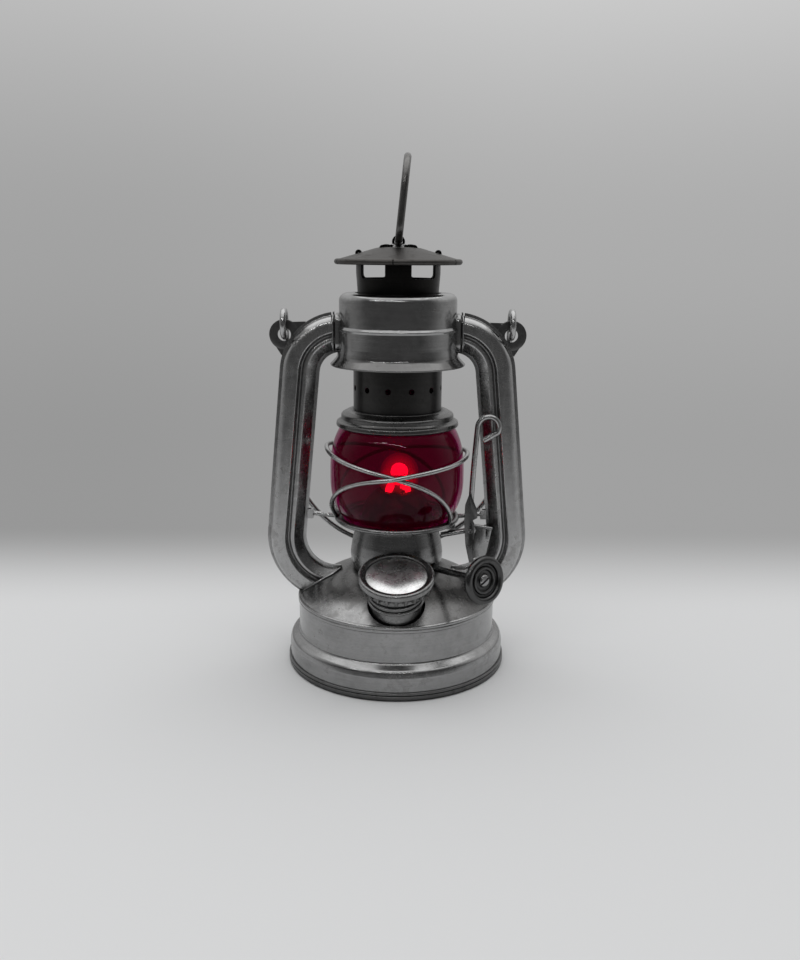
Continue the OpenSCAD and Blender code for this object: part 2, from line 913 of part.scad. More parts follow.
module hood() {
    slot_w = tongue_w + 2 * tongue_gap;
    color("saddlebrown")
        difference() {
            union() {
                turned_sheet(hood_path);
                translate([0, 0, hood_z + brim_roll_r])
                    rotate_extrude()
                        translate([hood_r - brim_roll_r, 0])
                            circle(r = brim_roll_r);
            }
            for (side = [0, 1])
                mirror([side, 0, 0])
                    translate([tongue_r, -slot_w / 2, tongue_z])
                        cube([sheet, slot_w, far]);
            for (x = strap_rivet_x)
                translate([x, 0, hood_z])
                    cylinder(h = far, r = strap_rivet_r);
        }
}

module ring_strap() {
    sleeve_r = ring_wire / 2 + pin_gap + sheet;
    sleeve_w = 8;
    wing = 6.8;
    color("dimgray")
        difference() {
            union() {
                translate([0, sleeve_w / 2, ring_z])
                    rotate([90, 0, 0])
                        cylinder(h = sleeve_w, r = sleeve_r);
                translate([-wing, -sleeve_w / 2, hood_top])
                    cube([2 * wing, sleeve_w, strap_t]);
            }
            translate([0, sleeve_w, ring_z])
                rotate([90, 0, 0])
                    cylinder(h = 2 * sleeve_w, r = ring_wire / 2 + pin_gap);
            for (x = strap_rivet_x)
                translate([x, 0, hood_z])
                    cylinder(h = far, r = strap_rivet_r);
        }
}

module strap_rivets() {
    color("dimgray")
        for (x = strap_rivet_x)
            translate([x, 0, hood_top]) {
                translate([0, 0, -sheet])
                    cylinder(h = sheet + strap_t, r = strap_rivet_r);
                for (z = [strap_t, -sheet - strap_head_h])
                    translate([0, 0, z])
                        cylinder(h = strap_head_h, r = strap_head_r);
            }
}

module lift_ring() {
    wire_r = ring_wire / 2;
    top_r = ring_w / 2;
    corner_r = top_r - 4.6;
    color("dimgray")
        translate([0, 0, ring_z])
            rotate([0, ring_lean, 0])
                rotate([90, 0, 90]) {
                    rod([-top_r + corner_r, 0, 0], [top_r - corner_r, 0, 0], wire_r);
                    for (side = [0, 1])
                        mirror([side, 0, 0]) {
                            translate([top_r - corner_r, corner_r, 0])
                                wire_bend(corner_r, wire_r, -90, 0);
                            rod([top_r, corner_r, 0], [top_r, ring_h - top_r, 0], wire_r);
                        }
                    translate([0, ring_h - top_r, 0])
                        wire_bend(top_r, wire_r, 0, 180);
                }
}

module top_chamber() {
    color("silver")
        difference() {
            turned_sheet(chamber_path);
            for (side = [0, 1])
                mirror([side, 0, 0])
                    translate([chamber_r - 6, 0, bend_top_z + bend_top_r])
                        rotate([90, 0, 90])
                            linear_extrude(12)
                                bore_section();
        }
}

// A tube's lobed outline from its inner edge to its outer edge, shrunk by t for the bore
function lobes(t) =
    let (
        in_end = asin((groove_v - t - lobe_in_v) / (lobe_in_r - t)),
        out_start = 180 - asin((groove_v - t - lobe_out_v) / (lobe_out_r - t))
    )
    concat(
        arc(lobe_in_u, lobe_in_v, lobe_in_r - t, 180, in_end, 7),
        arc(lobe_out_u, lobe_out_v, lobe_out_r - t, out_start, 0, 8)
    );

// The section of a half tube: X outwards, Y away from the seam
module half_section() {
    polygon(concat(
        [[-tube_w, 0], [-tube_w, sheet], [-wall_u, sheet]],
        lobes(0),
        [[wall_u, sheet], [tube_w, sheet], [tube_w, 0], [wall_u - sheet, 0]],
        backwards(lobes(sheet)),
        [[sheet - wall_u, 0]]
    ));
}

// The section of a tube's bore, drawn with its width upright
module bore_section() {
    half = concat([[sheet - wall_u, 0]], lobes(sheet), [[wall_u - sheet, 0]]);
    for (side = [0, 1])
        mirror([side, 0])
            polygon([for (p = half) [p[1] - tiny, p[0]]]);
}

// Places the children at a bend's centre, with the plane of the bend as XY and the front as +Z
module at_bend(x, z) {
    translate([x, 0, z])
        rotate([90, 0, 0])
            children();
}

// The bore of a foot, on the +X side, through the dome
module foot_bore() {
    half = concat([[sheet - wall_u, -tiny]], lobes(sheet), [[wall_u - sheet, -tiny]]);
    for (side = [0, 1])
        mirror([0, side, 0])
            at_bend(bend_foot_x, bend_foot_z)
                rotate([0, 0, -foot_sweep])
                    rotate_extrude(angle = foot_sweep / 2)
                        translate([bend_foot_r, 0])
                            polygon(half);
}

// An ear on the outer flange of the upper bend
module ear() {
    flange_r = bend_top_r + tube_w;
    web = 15;
    difference() {
        union() {
            translate(ear_d * [cos(ear_angle), sin(ear_angle), 0])
                cylinder(h = sheet, r = ear_r);
            linear_extrude(sheet)
                polygon([
                    flange_r * [cos(ear_angle - web), sin(ear_angle - web)],
                    (ear_d + 1.5) * [cos(ear_angle - 12), sin(ear_angle - 12)],
                    (ear_d + 1.5) * [cos(ear_angle + 12), sin(ear_angle + 12)],
                    flange_r * [cos(ear_angle + web + 4), sin(ear_angle + web + 4)],
                    (flange_r - 1.6) * [cos(ear_angle), sin(ear_angle)]
                ]);
        }
        translate([0, 0, -1])
            cylinder(h = 3, r = flange_r - flange_w / 2);
        translate(ear_d * [cos(ear_angle), sin(ear_angle), 0] - [0, 0, 1])
            cylinder(h = 3, r = ear_hole_r);
    }
}

// The front half of the tube on the +X side: the upper bend, the straight run and the lower bend
module tube_half() {
    difference() {
        at_bend(bend_top_x, bend_top_z) {
            ear();
            rotate([0, 0, splay]) {
                rotate_extrude(angle = 90 - splay)
                    translate([bend_top_r, 0])
                        half_section();
                translate([bend_top_r, 0, 0])
                    rotate([90, 0, 0])
                        linear_extrude(run_l)
                            half_section();
                translate([bend_top_r - bend_foot_r, -run_l, 0])
                    mirror([0, 1, 0])
                        rotate_extrude(angle = foot_sweep)
                            translate([bend_foot_r, 0])
                                half_section();
            }
        }
        chamber_block();
        dome_block();
    }
}

module right_tube_front() {
    color("silver")
        tube_half();
}

module right_tube_back() {
    color("silver")
        mirror([0, 1, 0])
            tube_half();
}

module left_tube_front() {
    color("silver")
        mirror([1, 0, 0])
            tube_half();
}

module left_tube_back() {
    color("silver")
        mirror([1, 0, 0])
            mirror([0, 1, 0])
                tube_half();
}

module bail() {
    wire_r = bail_wire / 2;
    eye_sweep = 300;
    color("gray")
        translate([0, 0, eye_z])
            rotate([bail_lean, 0, 0]) {
                for (x = [-ear_x, ear_x])
                    translate([x, 0, 0]) {
                        rotate([90, 0, 90])
                            wire_bend(eye_r, wire_r, 0, eye_sweep);
                        rod([0, eye_r, 0], [0, eye_r, -bail_leg], wire_r);
                    }
                translate([0, eye_r, -bail_leg])
                    rotate([90, 0, 0])
                        wire_bend(ear_x, wire_r, 180, 360);
            }
}

module lift_lever() {
    wire_r = lever_wire / 2;
    crank_end = crank_l * [-cos(crank_slope), 0, -sin(crank_slope)];
    color("silver")
        translate([lever_x, lever_y, lever_z])
            difference() {
                union() {
                    translate([0, lever_eye_w / 2, 0])
                        rotate([90, 0, 0])
                            cylinder(h = lever_eye_w, r = lever_eye_r);
                    rod(crank_end / 8, crank_end, wire_r);
                    rotate([0, lever_lean, 0]) {
                        rod([0, 0, lever_eye_r / 2], [0, 0, lever_l], wire_r);
                        translate([loop_r, 0, lever_l])
                            rotate([90, 0, 0])
                                wire_bend(loop_r, wire_r, -90, 180);
                    }
                }
                translate([0, lever_eye_w, 0])
                    rotate([90, 0, 0])
                        cylinder(h = 2 * lever_eye_w, r = rivet_r + pin_gap);
            }
}

module lever_catch() {
    flange_x = tube_inner_x(lever_z);
    apron_x = 0.9;
    ledge_slope = 10;
    apron_w = flange_x + flange_w + 0.9 - lever_x;
    clip_h = 5;
    color("silver")
        difference() {
            union() {
                translate([lever_x, catch_y, lever_z])
                    rotate([90, 0, 0])
                        linear_extrude(catch_t)
                            polygon([
                                [-1.8, 16], [-2.6, 9], [-2.6, 2], [-1.9, -6], [-0.4, -14], [1.7, -14],
                                [1.7, 3.2], [0.8, 4.8], [2.9, 6.9], [1.5, 10.6], [0, 14.1]
                            ]);
                translate([lever_x + apron_x, catch_y - catch_t, lever_z - 14])
                    cube([0.8, apron_y - catch_y + catch_t, 10.6]);
                translate([lever_x, apron_y, lever_z])
                    rotate([90, 0, 0])
                        linear_extrude(apron_t)
                            polygon([
                                [apron_x, -14], [apron_x, -3.4], [1.7, 1.2],
                                [apron_w, 1.2 - apron_w * tan(ledge_slope)], [apron_w - 2.4, -12]
                            ]);
                translate([lever_x + 1.7, apron_y - apron_t / 2, lever_z + 1.2])
                    rotate([0, 90 + ledge_slope, 0])
                        cylinder(h = apron_w - 1.7, r = ledge_r);
                translate([flange_x - 1, apron_y - apron_t, lever_z - clip_h])
                    cube([1 + flange_w - 0.4, -apron_y + apron_t - sheet, clip_h]);
            }
            translate([lever_x, 0, lever_z])
                rotate([90, 0, 0])
                    cylinder(h = far, r = rivet_r);
        }
}

module lever_rivet() {
    head_r = 1.9;
    front = catch_y - catch_t;
    back = lever_y + lever_eye_w / 2 + gap;
    color("gray")
        translate([lever_x, 0, lever_z])
            rotate([90, 0, 0]) {
                translate([0, 0, -back])
                    cylinder(h = back - front, r = rivet_r);
                translate([0, 0, -front])
                    cylinder(h = 0.7, r = head_r);
                translate([0, 0, -back - 0.4])
                    cylinder(h = 0.4, r = 1.5);
            }
}

tank_bottom();
tank_wall();
tank_partition();
air_dome();
filler_neck();
filler_gasket();
filler_cap();
burner_cup();
burner_collar();
burner_plug();
burner_cone();
shaft_bracket();
wick_tube();
wick();
wick_shaft();
wick_gears();
wick_knob();
knob_screw();
globe_plate();
globe_guard_left();
globe_guard_right();
guide_arm_left();
guide_arm_right();
globe();
globe_holder();
chimney_tube();
spring_seat();
chimney_spring();
chimney_top();
hood();
ring_strap();
strap_rivets();
lift_ring();
top_chamber();
left_tube_front();
left_tube_back();
right_tube_front();
right_tube_back();
bail();
lift_lever();
lever_catch();
lever_rivet();
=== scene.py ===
"""Looks of a small tubular lantern: worn bare steel, a red globe, a bail and a lift ring."""

import math

import bmesh
import bpy
from mathutils import Matrix, Vector


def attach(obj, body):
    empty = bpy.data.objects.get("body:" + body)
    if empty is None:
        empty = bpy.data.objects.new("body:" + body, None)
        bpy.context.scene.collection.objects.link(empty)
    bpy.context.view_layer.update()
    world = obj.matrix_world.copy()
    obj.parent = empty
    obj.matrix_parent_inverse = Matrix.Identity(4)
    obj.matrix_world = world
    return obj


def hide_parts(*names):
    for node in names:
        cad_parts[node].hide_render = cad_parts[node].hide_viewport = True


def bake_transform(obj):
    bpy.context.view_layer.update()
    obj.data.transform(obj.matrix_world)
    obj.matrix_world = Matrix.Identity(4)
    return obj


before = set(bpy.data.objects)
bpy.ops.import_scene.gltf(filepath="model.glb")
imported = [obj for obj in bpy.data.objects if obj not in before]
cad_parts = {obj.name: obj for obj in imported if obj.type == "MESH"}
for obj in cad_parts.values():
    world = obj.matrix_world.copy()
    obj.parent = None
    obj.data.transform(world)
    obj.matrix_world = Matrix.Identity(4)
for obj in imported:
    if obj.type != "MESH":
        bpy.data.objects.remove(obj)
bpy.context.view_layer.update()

MM = 0.001
TURN = 2 * math.pi
WALL = 0.6  # the lantern's sheet, in millimetres


# Shader maths


class Value:
    """A socket of a finish that takes part in Python arithmetic."""

    def __init__(self, finish, socket):
        self.finish = finish
        self.socket = socket

    def math(self, operation, *others):
        return self.finish.node("ShaderNodeMath", {"operation": operation}, [self, *others])

    def __add__(self, other):
        return self.math("ADD", other)

    def __sub__(self, other):
        return self.math("SUBTRACT", other)

    def __rsub__(self, other):
        return self.finish.node("ShaderNodeMath", {"operation": "SUBTRACT"}, [other, self])

    def __mul__(self, other):
        return self.math("MULTIPLY", other)

    def __truediv__(self, other):
        return self.math("DIVIDE", other)

    def __rtruediv__(self, other):
        return self.finish.node("ShaderNodeMath", {"operation": "DIVIDE"}, [other, self])

    __radd__ = __add__
    __rmul__ = __mul__


class Finish:
    """A material, or the room's world, whose nodes are written as expressions."""

    def __init__(self, name, world=None):
        self.material = world or bpy.data.materials.new(name)
        self.material.use_nodes = True
        self.tree = self.material.node_tree
        self.shader = self.tree.nodes["Background" if world else "Principled BSDF"]
        self.place = self.node("ShaderNodeTexCoord", out="Generated" if world else "Object")

    def node(self, kind, settings=None, inputs=(), out=0):
        """One output of a new node, made with its settings first and then its sockets' values or links."""
        made = self.tree.nodes.new(kind)
        for key, value in (settings or {}).items():
            setattr(made, key, value)
        for key, value in inputs.items() if isinstance(inputs, dict) else enumerate(inputs):
            self.feed(made.inputs[key], value)
        return Value(self, made.outputs[out])

    def feed(self, socket, value):
        if isinstance(value, Value):
            self.tree.links.new(value.socket, socket)
        else:
            socket.default_value = value

    def set(self, **sockets):
        """Feed the shader's sockets, named with underscores for spaces."""
        for key, value in sockets.items():
            self.feed(self.shader.inputs[key.replace("_", " ")], value)

    def noise(self, scale, stretch=(1, 1, 1), turn=(0, 0, 0), detail=4, roughness=0.55):
        """Noise with `scale` features to the metre, squeezed along the axes of `stretch`."""
        turned = self.node("ShaderNodeMapping", {}, {"Vector": self.place, "Rotation": turn, "Scale": stretch})
        inputs = {"Vector": turned, "Scale": scale, "Detail": detail, "Roughness": roughness}
        return self.node("ShaderNodeTexNoise", {}, inputs)

    def step(self, value, low, high, to_low=0.0, to_high=1.0):
        """The value's share of the way from low to high, eased, as a number between two others."""
        settings = {"interpolation_type": "SMOOTHSTEP"}
        return self.node("ShaderNodeMapRange", settings, [value, low, high, to_low, to_high])

    def mix(self, share, first, second):
        inputs = {0: share, 6: first, 7: second}
        return self.node("ShaderNodeMix", {"data_type": "RGBA"}, inputs, out=2)

    def colour(self, level):
        return self.node("ShaderNodeCombineXYZ", {}, [level, level, level])

    def axis(self, name):
        return self.node("ShaderNodeSeparateXYZ", {}, [self.place], out=name)

    def reach(self, point):
        """The distance from a point, in metres."""
        return self.node("ShaderNodeVectorMath", {"operation": "DISTANCE"}, [self.place, point], out="Value")

    def bump(self, height, strength, distance):
        inputs = {"Height": height, "Strength": strength, "Distance": distance}
        self.set(Normal=self.node("ShaderNodeBump", {}, inputs))


# Finishes

CORNER_SHADE_REACH = 0.005
RELIEF_DEPTH = 0.00008
SCRATCHED = 0.5
ROUND = (0.12, 0.12, 3.2)
PLAIN = (1, 1, 1)
DRAWN = (1.5, 1.5, 0.2)
BLACK = (0, 0, 0, 1)


def grey(level, warm=0.0):
    """A steel colour: a level with a touch of warmth."""
    return (level * (1 + warm), level, level * (1 - warm), 1)


def steel(name, level, rough, grain=PLAIN, stain=0.5, warm=0.0, spread=0.25, relief=0.12, soot=(), turn=0.0):
    """Worn sheet: clouded tone, fine grain, stains, pits, scratches, painted shade in corners, and darkening
    by place.

    Each row of the soot argument darkens the colour by place: it names an axis, where along it the darkening
    is full, where it ends, and the share that it covers. Some rows are painted shade.
    """
    f = Finish(name)
    # Painted shade: ambient occlusion finds corners and creases, and the colour is darkened there.
    clear = f.node("ShaderNodeAmbientOcclusion", {"samples": 6}, {"Distance": CORNER_SHADE_REACH}, out="AO")
    corner_shade = 1 - f.step(clear, 0.3, 0.92)
    cloud = f.step(f.noise(75, turn=(0, 0, turn), detail=6, roughness=0.62), 0.3, 0.7)
    blot = f.step(f.noise(210, detail=5, roughness=0.7, turn=(0.4, 0.2, 0.9)), 0.32, 0.68)
    lines = f.step(f.noise(430, grain, detail=3, roughness=0.6), 0.3, 0.7)
    pits = f.step(f.noise(1300, detail=2), 0.62, 0.74)
    scores = f.step(f.noise(230, (1, 1, 40), (0.5, 0.9, 0.3), detail=2), 0.64, 0.69) * SCRATCHED
    stains = f.step(cloud * 0.5 + blot * 0.5, 0.52, 0.85) * stain
    tone = cloud * 0.5 + lines * 0.2 + blot * 0.3
    dark = grey(level * 0.3, warm + 0.02)
    clean = f.mix(tone, grey(level * (1 - spread), warm), grey(level * (1 + spread), warm))
    worn = f.mix(stains, clean, grey(level * 0.5, warm + 0.02))
    marked = f.mix(pits * 0.7 * stain + scores * 0.45, worn, dark)
    # Darkening by place from the rows of soot, some of which are painted shade.
    for axis, full, end, share in soot:
        marked = f.mix((1 - f.step(f.axis(axis), full, end)) * share, marked, dark)
    uneven = 0.1 * stains + 0.03 * (lines - 0.5) + 0.04 * (blot - 0.5) + 0.1 * scores + 0.15 * corner_shade
    # The colour takes painted shade in corners over the worn and marked steel.
    f.set(
        Base_Color=f.mix(corner_shade * 0.85, marked, grey(level * 0.1, warm + 0.03)),
        Metallic=1.0,
        Roughness=rough + uneven,
    )
    f.bump(lines * 0.1 + blot * 0.3 - pits * 0.5 - scores * 0.7, relief, RELIEF_DEPTH)
    return f.material


tank_steel = steel("tank_steel", 0.32, 0.22, ROUND, stain=0.4, relief=0.06)
# The X row is painted shade that darkens the dome's right side; the Z row darkens the dome near the burner
# cup.
dome_darkening_and_shade = [("Z", 0.0372, 0.0335, 0.75), ("X", 0.02, -0.004, 0.75)]
dome_steel = steel("dome_steel", 0.3, 0.26, stain=0.6, spread=0.4, turn=math.pi, soot=dome_darkening_and_shade)
rim_steel = steel("rim_steel", 0.16, 0.32, ROUND, stain=0.6)
tube_steel = steel("tube_steel", 0.4, 0.24, DRAWN)
# The chamber is darker below the flare of the bell.
bell_darkening = [("Z", 0.1335, 0.1375, 0.75)]
chamber_steel = steel("chamber_steel", 0.34, 0.17, ROUND, stain=0.45, relief=0.08, soot=bell_darkening)
cup_steel = steel("cup_steel", 0.24, 0.26, ROUND, stain=0.45)
holder_steel = steel("holder_steel", 0.14, 0.28, ROUND, stain=0.4, warm=0.01)
vent_steel = steel("vent_steel", 0.05, 0.32, ROUND, stain=0.4, warm=0.02)
burnt_steel = steel("burnt_steel", 0.022, 0.3, ROUND, warm=0.04)
hood_steel = steel("hood_steel", 0.077, 0.46, stain=0.4, warm=0.05)
cap_steel = steel("cap_steel", 0.75, 0.27, stain=0.4, spread=0.3)
knob_steel = steel("knob_steel", 0.09, 0.24)
wire_steel = steel("wire_steel", 0.42, 0.24)
ring_steel = steel("ring_steel", 0.15, 0.3, warm=0.02)
catch_steel = steel("catch_steel", 0.34, 0.26)
leaf_steel = steel("leaf_steel", 0.13, 0.28)


def sooted_brass():
    """The burner's brass, blotched with soot."""
    f = Finish("sooted_brass")
    soot = f.step(f.noise(140, detail=5), 0.38, 0.66)
    f.set(
        Base_Color=f.mix(soot, (0.3, 0.2, 0.09, 1), (0.05, 0.04, 0.03, 1)),
        Metallic=1.0,
        Roughness=0.4 + 0.2 * soot,
    )
    f.bump(soot, 0.2, 0.0002)
    return f.material


def red_glass():
    """Deep wine-red glass, with painted light of the flame: a faint emission near the flame that fades away
    from it.
    """
    f = Finish("red_glass")
    away = f.step(f.reach((0, 0, 0.086)), 0.024, 0.034)
    f.set(
        Base_Color=(0.27, 0.001, 0.1, 1),
        Roughness=0.02,
        IOR=1.22,
        Transmission_Weight=1.0,
        # Painted light: the glass emits more near the flame.
        Emission_Color=f.mix(away, (0.01, 0.0, 0.0015, 1), (0.004, 0.0, 0.0006, 1)),
        Emission_Strength=1.0,
    )
    f.bump(f.noise(120, detail=2), 0.05, 0.0002)
    return f.material


def woven_wick():
    """Cotton tape, charred at its top."""
    f = Finish("woven_wick")
    weave = f.noise(1400, (1, 1, 0.3), detail=2)
    char = f.step(f.axis("Z"), 0.0755, 0.0785)
    cotton = f.mix(weave, (0.5, 0.44, 0.33, 1), (0.75, 0.7, 0.6, 1))
    f.set(Base_Color=f.mix(char, cotton, (0.02, 0.015, 0.01, 1)), Roughness=0.95)
    f.bump(weave, 0.6, 0.0004)
    return f.material


def gasket_rubber():
    """The filler gasket's dull black rubber."""
    f = Finish("gasket_rubber")
    f.set(Base_Color=f.mix(f.noise(600), (0.02, 0.02, 0.02, 1), (0.06, 0.055, 0.05, 1)), Roughness=0.8)
    return f.material


def flame_light(name, strength, alpha):
    """Orange light that pales towards the flame's tip."""
    f = Finish(name)
    height = f.step(f.axis("Z"), 0.078, 0.094)
    f.set(
        Base_Color=BLACK,
        Emission_Color=f.mix(height, (1.0, 0.3, 0.04, 1), (1.0, 0.4, 0.06, 1)),
        Emission_Strength=strength,
        Alpha=alpha,
    )
    return f.material


brass = sooted_brass()
glass = red_glass()
cotton = woven_wick()
rubber = gasket_rubber()
fire = flame_light("flame_light", 7.0, 1.0)
glow = flame_light("flame_glow", 2.0, 0.06)


# Outlines and places, in millimetres


def rounded(corners, steps=6):
    """A path through corners (across, up) or (across, up, radius), with the corners rounded."""
    path = []
    for i, corner in enumerate(corners):
        p = Vector(corner[:2])
        radius = corner[2] if len(corner) > 2 else 0
        if not radius:
            path.append(p)
            continue
        back = (Vector(corners[i - 1][:2]) - p).normalized()
        ahead = (Vector(corners[(i + 1) % len(corners)][:2]) - p).normalized()
        half = back.angle(ahead) / 2
        centre = p + (back + ahead).normalized() * radius / math.sin(half)
        start = p + back * radius / math.tan(half) - centre
        sweep = start.angle_signed(p + ahead * radius / math.tan(half) - centre)
        path += [centre + Matrix.Rotation(-sweep * k / steps, 2) @ start for k in range(steps + 1)]
    return path


def arc(x, y, radius, start, end, steps=12):
    """Points on an arc about (x, y), from one angle to another in degrees."""
    angles = [math.radians(start + (end - start) * k / steps) for k in range(steps + 1)]
    return [Vector((x + radius * math.cos(a), y + radius * math.sin(a))) for a in angles]


def sheet(path, wall=WALL):
    """The closed outline of a sheet with one face on a path and its wall to the path's left."""
    path = [Vector(p) for p in path]
    inner = []
    for i, p in enumerate(path):
        before = (p - path[max(i - 1, 0)]) if i else (path[1] - p)
        after = (path[i + 1] - p) if i + 1 < len(path) else before
        across = before.normalized().orthogonal() + after.normalized().orthogonal()
        across.normalize()
        inner.append(p + across * wall / max(across.dot(before.normalized().orthogonal()), 0.4))
    return path + inner[::-1]


def spot(x, y, z):
    """A move to a place in millimetres."""
    return Matrix.Translation(Vector((x, y, z)) * MM)


def about(axis, degrees):
    """A turn about an axis through the origin."""
    return Matrix.Rotation(math.radians(degrees), 4, axis)


UPRIGHT = about("X", 90)
ACROSS = about("Y", 90)


# Meshes


def cleaned(mesh):
    """The mesh with its seams merged and its faces pointing outwards."""
    bmesh.ops.remove_doubles(mesh, verts=mesh.verts, dist=1e-7)
    bmesh.ops.recalc_face_normals(mesh, faces=mesh.faces)
    return mesh


def loop_of(mesh, points, closed=True):
    """Vertices at (x, y, z) in millimetres joined by edges."""
    corners = [mesh.verts.new(Vector(p) * MM) for p in points]
    pairs = list(zip(corners, corners[1:]))
    if closed:
        pairs.append((corners[-1], corners[0]))
    return corners, [mesh.edges.new(pair) for pair in pairs]


def points_of(geometry):
    return [g for g in geometry if isinstance(g, bmesh.types.BMVert)]


def edges_of(geometry):
    return [g for g in geometry if isinstance(g, bmesh.types.BMEdge)]


def turned(outline, closed=True, steps=120):
    """A mesh of an outline (radius, height) in millimetres turned about the Z axis."""
    mesh = bmesh.new()
    corners, edges = loop_of(mesh, [(r, 0, z) for r, z in outline], closed)
    bmesh.ops.spin(
        mesh, geom=corners + edges, cent=(0, 0, 0), axis=(0, 0, 1), angle=TURN, steps=steps, use_merge=True
    )
    return cleaned(mesh)


def drill(radius, low, high, steps=24):
    """A round cutter along the Z axis."""
    return turned([(0, low), (radius, low), (radius, high), (0, high)], closed=False, steps=steps)


def plate(outline, thick):
    """A mesh of an outline (x, y) in millimetres raised to a thickness."""
    mesh = bmesh.new()
    corners, _ = loop_of(mesh, [(x, y, 0) for x, y in outline])
    raised = bmesh.ops.extrude_face_region(mesh, geom=[mesh.faces.new(corners)])
    bmesh.ops.translate(mesh, vec=(0, 0, thick * MM), verts=points_of(raised["geom"]))
    return cleaned(mesh)


def bar(x_low, x_high, y_low, y_high, thick):
    """A plate with four square corners."""
    return plate([(x_low, y_low), (x_high, y_low), (x_high, y_high), (x_low, y_high)], thick)


def softened(mesh, width):
    """The mesh with its sharp edges rounded."""
    sharp = [e for e in mesh.edges if len(e.link_faces) == 2 and e.calc_face_angle() > math.radians(40)]
    shape = {"affect": "EDGES", "segments": 2, "profile": 0.5, "material": -1, "clamp_overlap": True}
    bmesh.ops.bevel(mesh, geom=sharp, offset=width * MM, **shape)
    return mesh


def evaluated(made):
    """The mesh of an object with its modifiers or its wire's thickness."""
    shape = bpy.data.meshes.new_from_object(made.evaluated_get(bpy.context.evaluated_depsgraph_get()))
    mesh = bmesh.new()
    mesh.from_mesh(shape)
    bpy.data.meshes.remove(shape)
    return mesh


def wire(points, radius, closed=False, sides=14):
    """A round wire through points in millimetres."""
    curve = bpy.data.curves.new("wire", "CURVE")
    curve.dimensions = "3D"
    curve.bevel_depth = radius * MM
    curve.bevel_resolution = sides // 2 - 2
    curve.use_fill_caps = True
    spline = curve.splines.new("POLY")
    spline.points.add(len(points) - 1)
    for knot, p in zip(spline.points, points):
        knot.co = (*(Vector(p) * MM), 1)
    spline.use_cyclic_u = closed
    holder = bpy.data.objects.new("wire", curve)
    bpy.context.scene.collection.objects.link(holder)
    mesh = evaluated(holder)
    bpy.data.objects.remove(holder)
    bpy.data.curves.remove(curve)
    return cleaned(mesh)


def moved(mesh, *matrices):
    """The mesh after one move or turn after another."""
    for matrix in matrices:
        mesh.transform(matrix)
    return mesh


def mirrored(mesh, x=1, y=1):
    """The mesh mirrored across X or Y."""
    mesh.transform(Matrix.Diagonal((x, y, 1, 1)))
    if x * y < 0:
        bmesh.ops.reverse_faces(mesh, faces=mesh.faces)
    return mesh


def joined(*meshes):
    """One mesh that holds all of them."""
    whole = bmesh.new()
    for mesh in meshes:
        shape = bpy.data.meshes.new("part")
        mesh.to_mesh(shape)
        whole.from_mesh(shape)
        bpy.data.meshes.remove(shape)
    return whole


def as_object(name, mesh):
    """The mesh as an object of the scene, at the origin."""
    data = bpy.data.meshes.new(name)
    mesh.to_mesh(data)
    made = bpy.data.objects.new(name, data)
    bpy.context.scene.collection.objects.link(made)
    return made


def carved(mesh, *cutters):
    """The mesh with the cutters' shapes taken out."""
    body = as_object("carved", mesh)
    tool = as_object("cutter", joined(*cutters))
    cut = body.modifiers.new("cut", "BOOLEAN")
    cut.object = tool
    cut.solver = "EXACT"
    result = evaluated(body)
    for made in (body, tool):
        data = made.data
        bpy.data.objects.remove(made)
        bpy.data.meshes.remove(data)
    return result


def piece(name, mesh, material, body=None, node=None, sharp=38):
    """A finished piece, which rides on a body and stands for a CAD node, its namesake if it has one."""
    for face in mesh.faces:
        face.smooth = True
    for edge in mesh.edges:
        if len(edge.link_faces) == 2:
            edge.smooth = edge.calc_face_angle() < math.radians(sharp)
    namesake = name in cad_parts
    made = as_object(f"{name}_worn" if namesake else name, mesh)
    made.data.materials.append(material)
    if body:
        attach(made, body)
    if node or namesake:
        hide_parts(node or name)
    return made


# Sizes of the lantern, in millimetres, as the CAD has them
CUP_Z, CUP_TOP = 42.0, 62.3
GLOBE_Z, GLOBE_H = 65.4, 41.6
HOLDER_Z, HOLDER_TOP = 105.1, 112.5
BELL_Z, CHAMBER_TOP = 131.2, 160.9
HOOD_TOP = 179.2
RING_Z = 181.36
NECK = spot(0, -32, 35.6) @ about("X", 16.5)
BURNER = about("Z", 37 - 90)
SHAFT = BURNER @ spot(0, 5, 43.1) @ about("Y", 90 - 6.5)


# Tank

foot = rounded([
    (0, 1.6), (45.2, 1.6, 0.5), (45.9, 0.0, 0.7), (48.0, 0.0, 1.0), (48.0, 2.2, 0.45), (47.4, 2.35, 0.05),
    (47.4, 2.5, 0.05), (47.95, 2.65, 0.3), (47.95, 3.75, 0.5), (46.1, 3.75), (46.1, 2.2), (0, 2.2),
])
piece("tank_foot", turned(foot, closed=False), rim_steel, "frame", node="tank_bottom")

wall_path = rounded([
    (47.2, 2.6), (47.3, 9.6, 3.0), (46.6, 12.4, 2.4), (43.1, 14.4, 1.4), (43.1, 27.6, 0.3), (43.5, 27.9, 0.25),
    (43.5, 28.9, 0.25), (43.2, 29.1, 0.1), (43.5, 29.3, 0.25), (43.5, 30.2, 0.5), (42.5, 30.7),
])
piece("tank_wall", turned(sheet(wall_path)), tank_steel, "frame")

DOME_OUT, DOME_IN, DOME_DROP = 42.7, 19.4, 11.3
DOME_STEPS = 30


def dome_z(r):
    """The dome's height at a radius."""
    return CUP_Z - DOME_DROP * max((r - DOME_IN) / (DOME_OUT - DOME_IN), 0) ** 1.5


dome_radii = [DOME_OUT - (DOME_OUT - DOME_IN) * k / DOME_STEPS for k in range(DOME_STEPS + 1)]
dome_path = [(42.75, 30.4), *[(r, dome_z(r)) for r in dome_radii], (17.6, CUP_Z)]
neck_cut = moved(drill(11.95, -9, 14, steps=64), NECK)
piece("air_dome", carved(turned(sheet(dome_path), steps=144), neck_cut), dome_steel, "frame")


# Filler

THREAD_R, THREAD_PITCH, THREAD_FROM = 11.05, 2.6, 2.0
THREAD_STEPS = 48

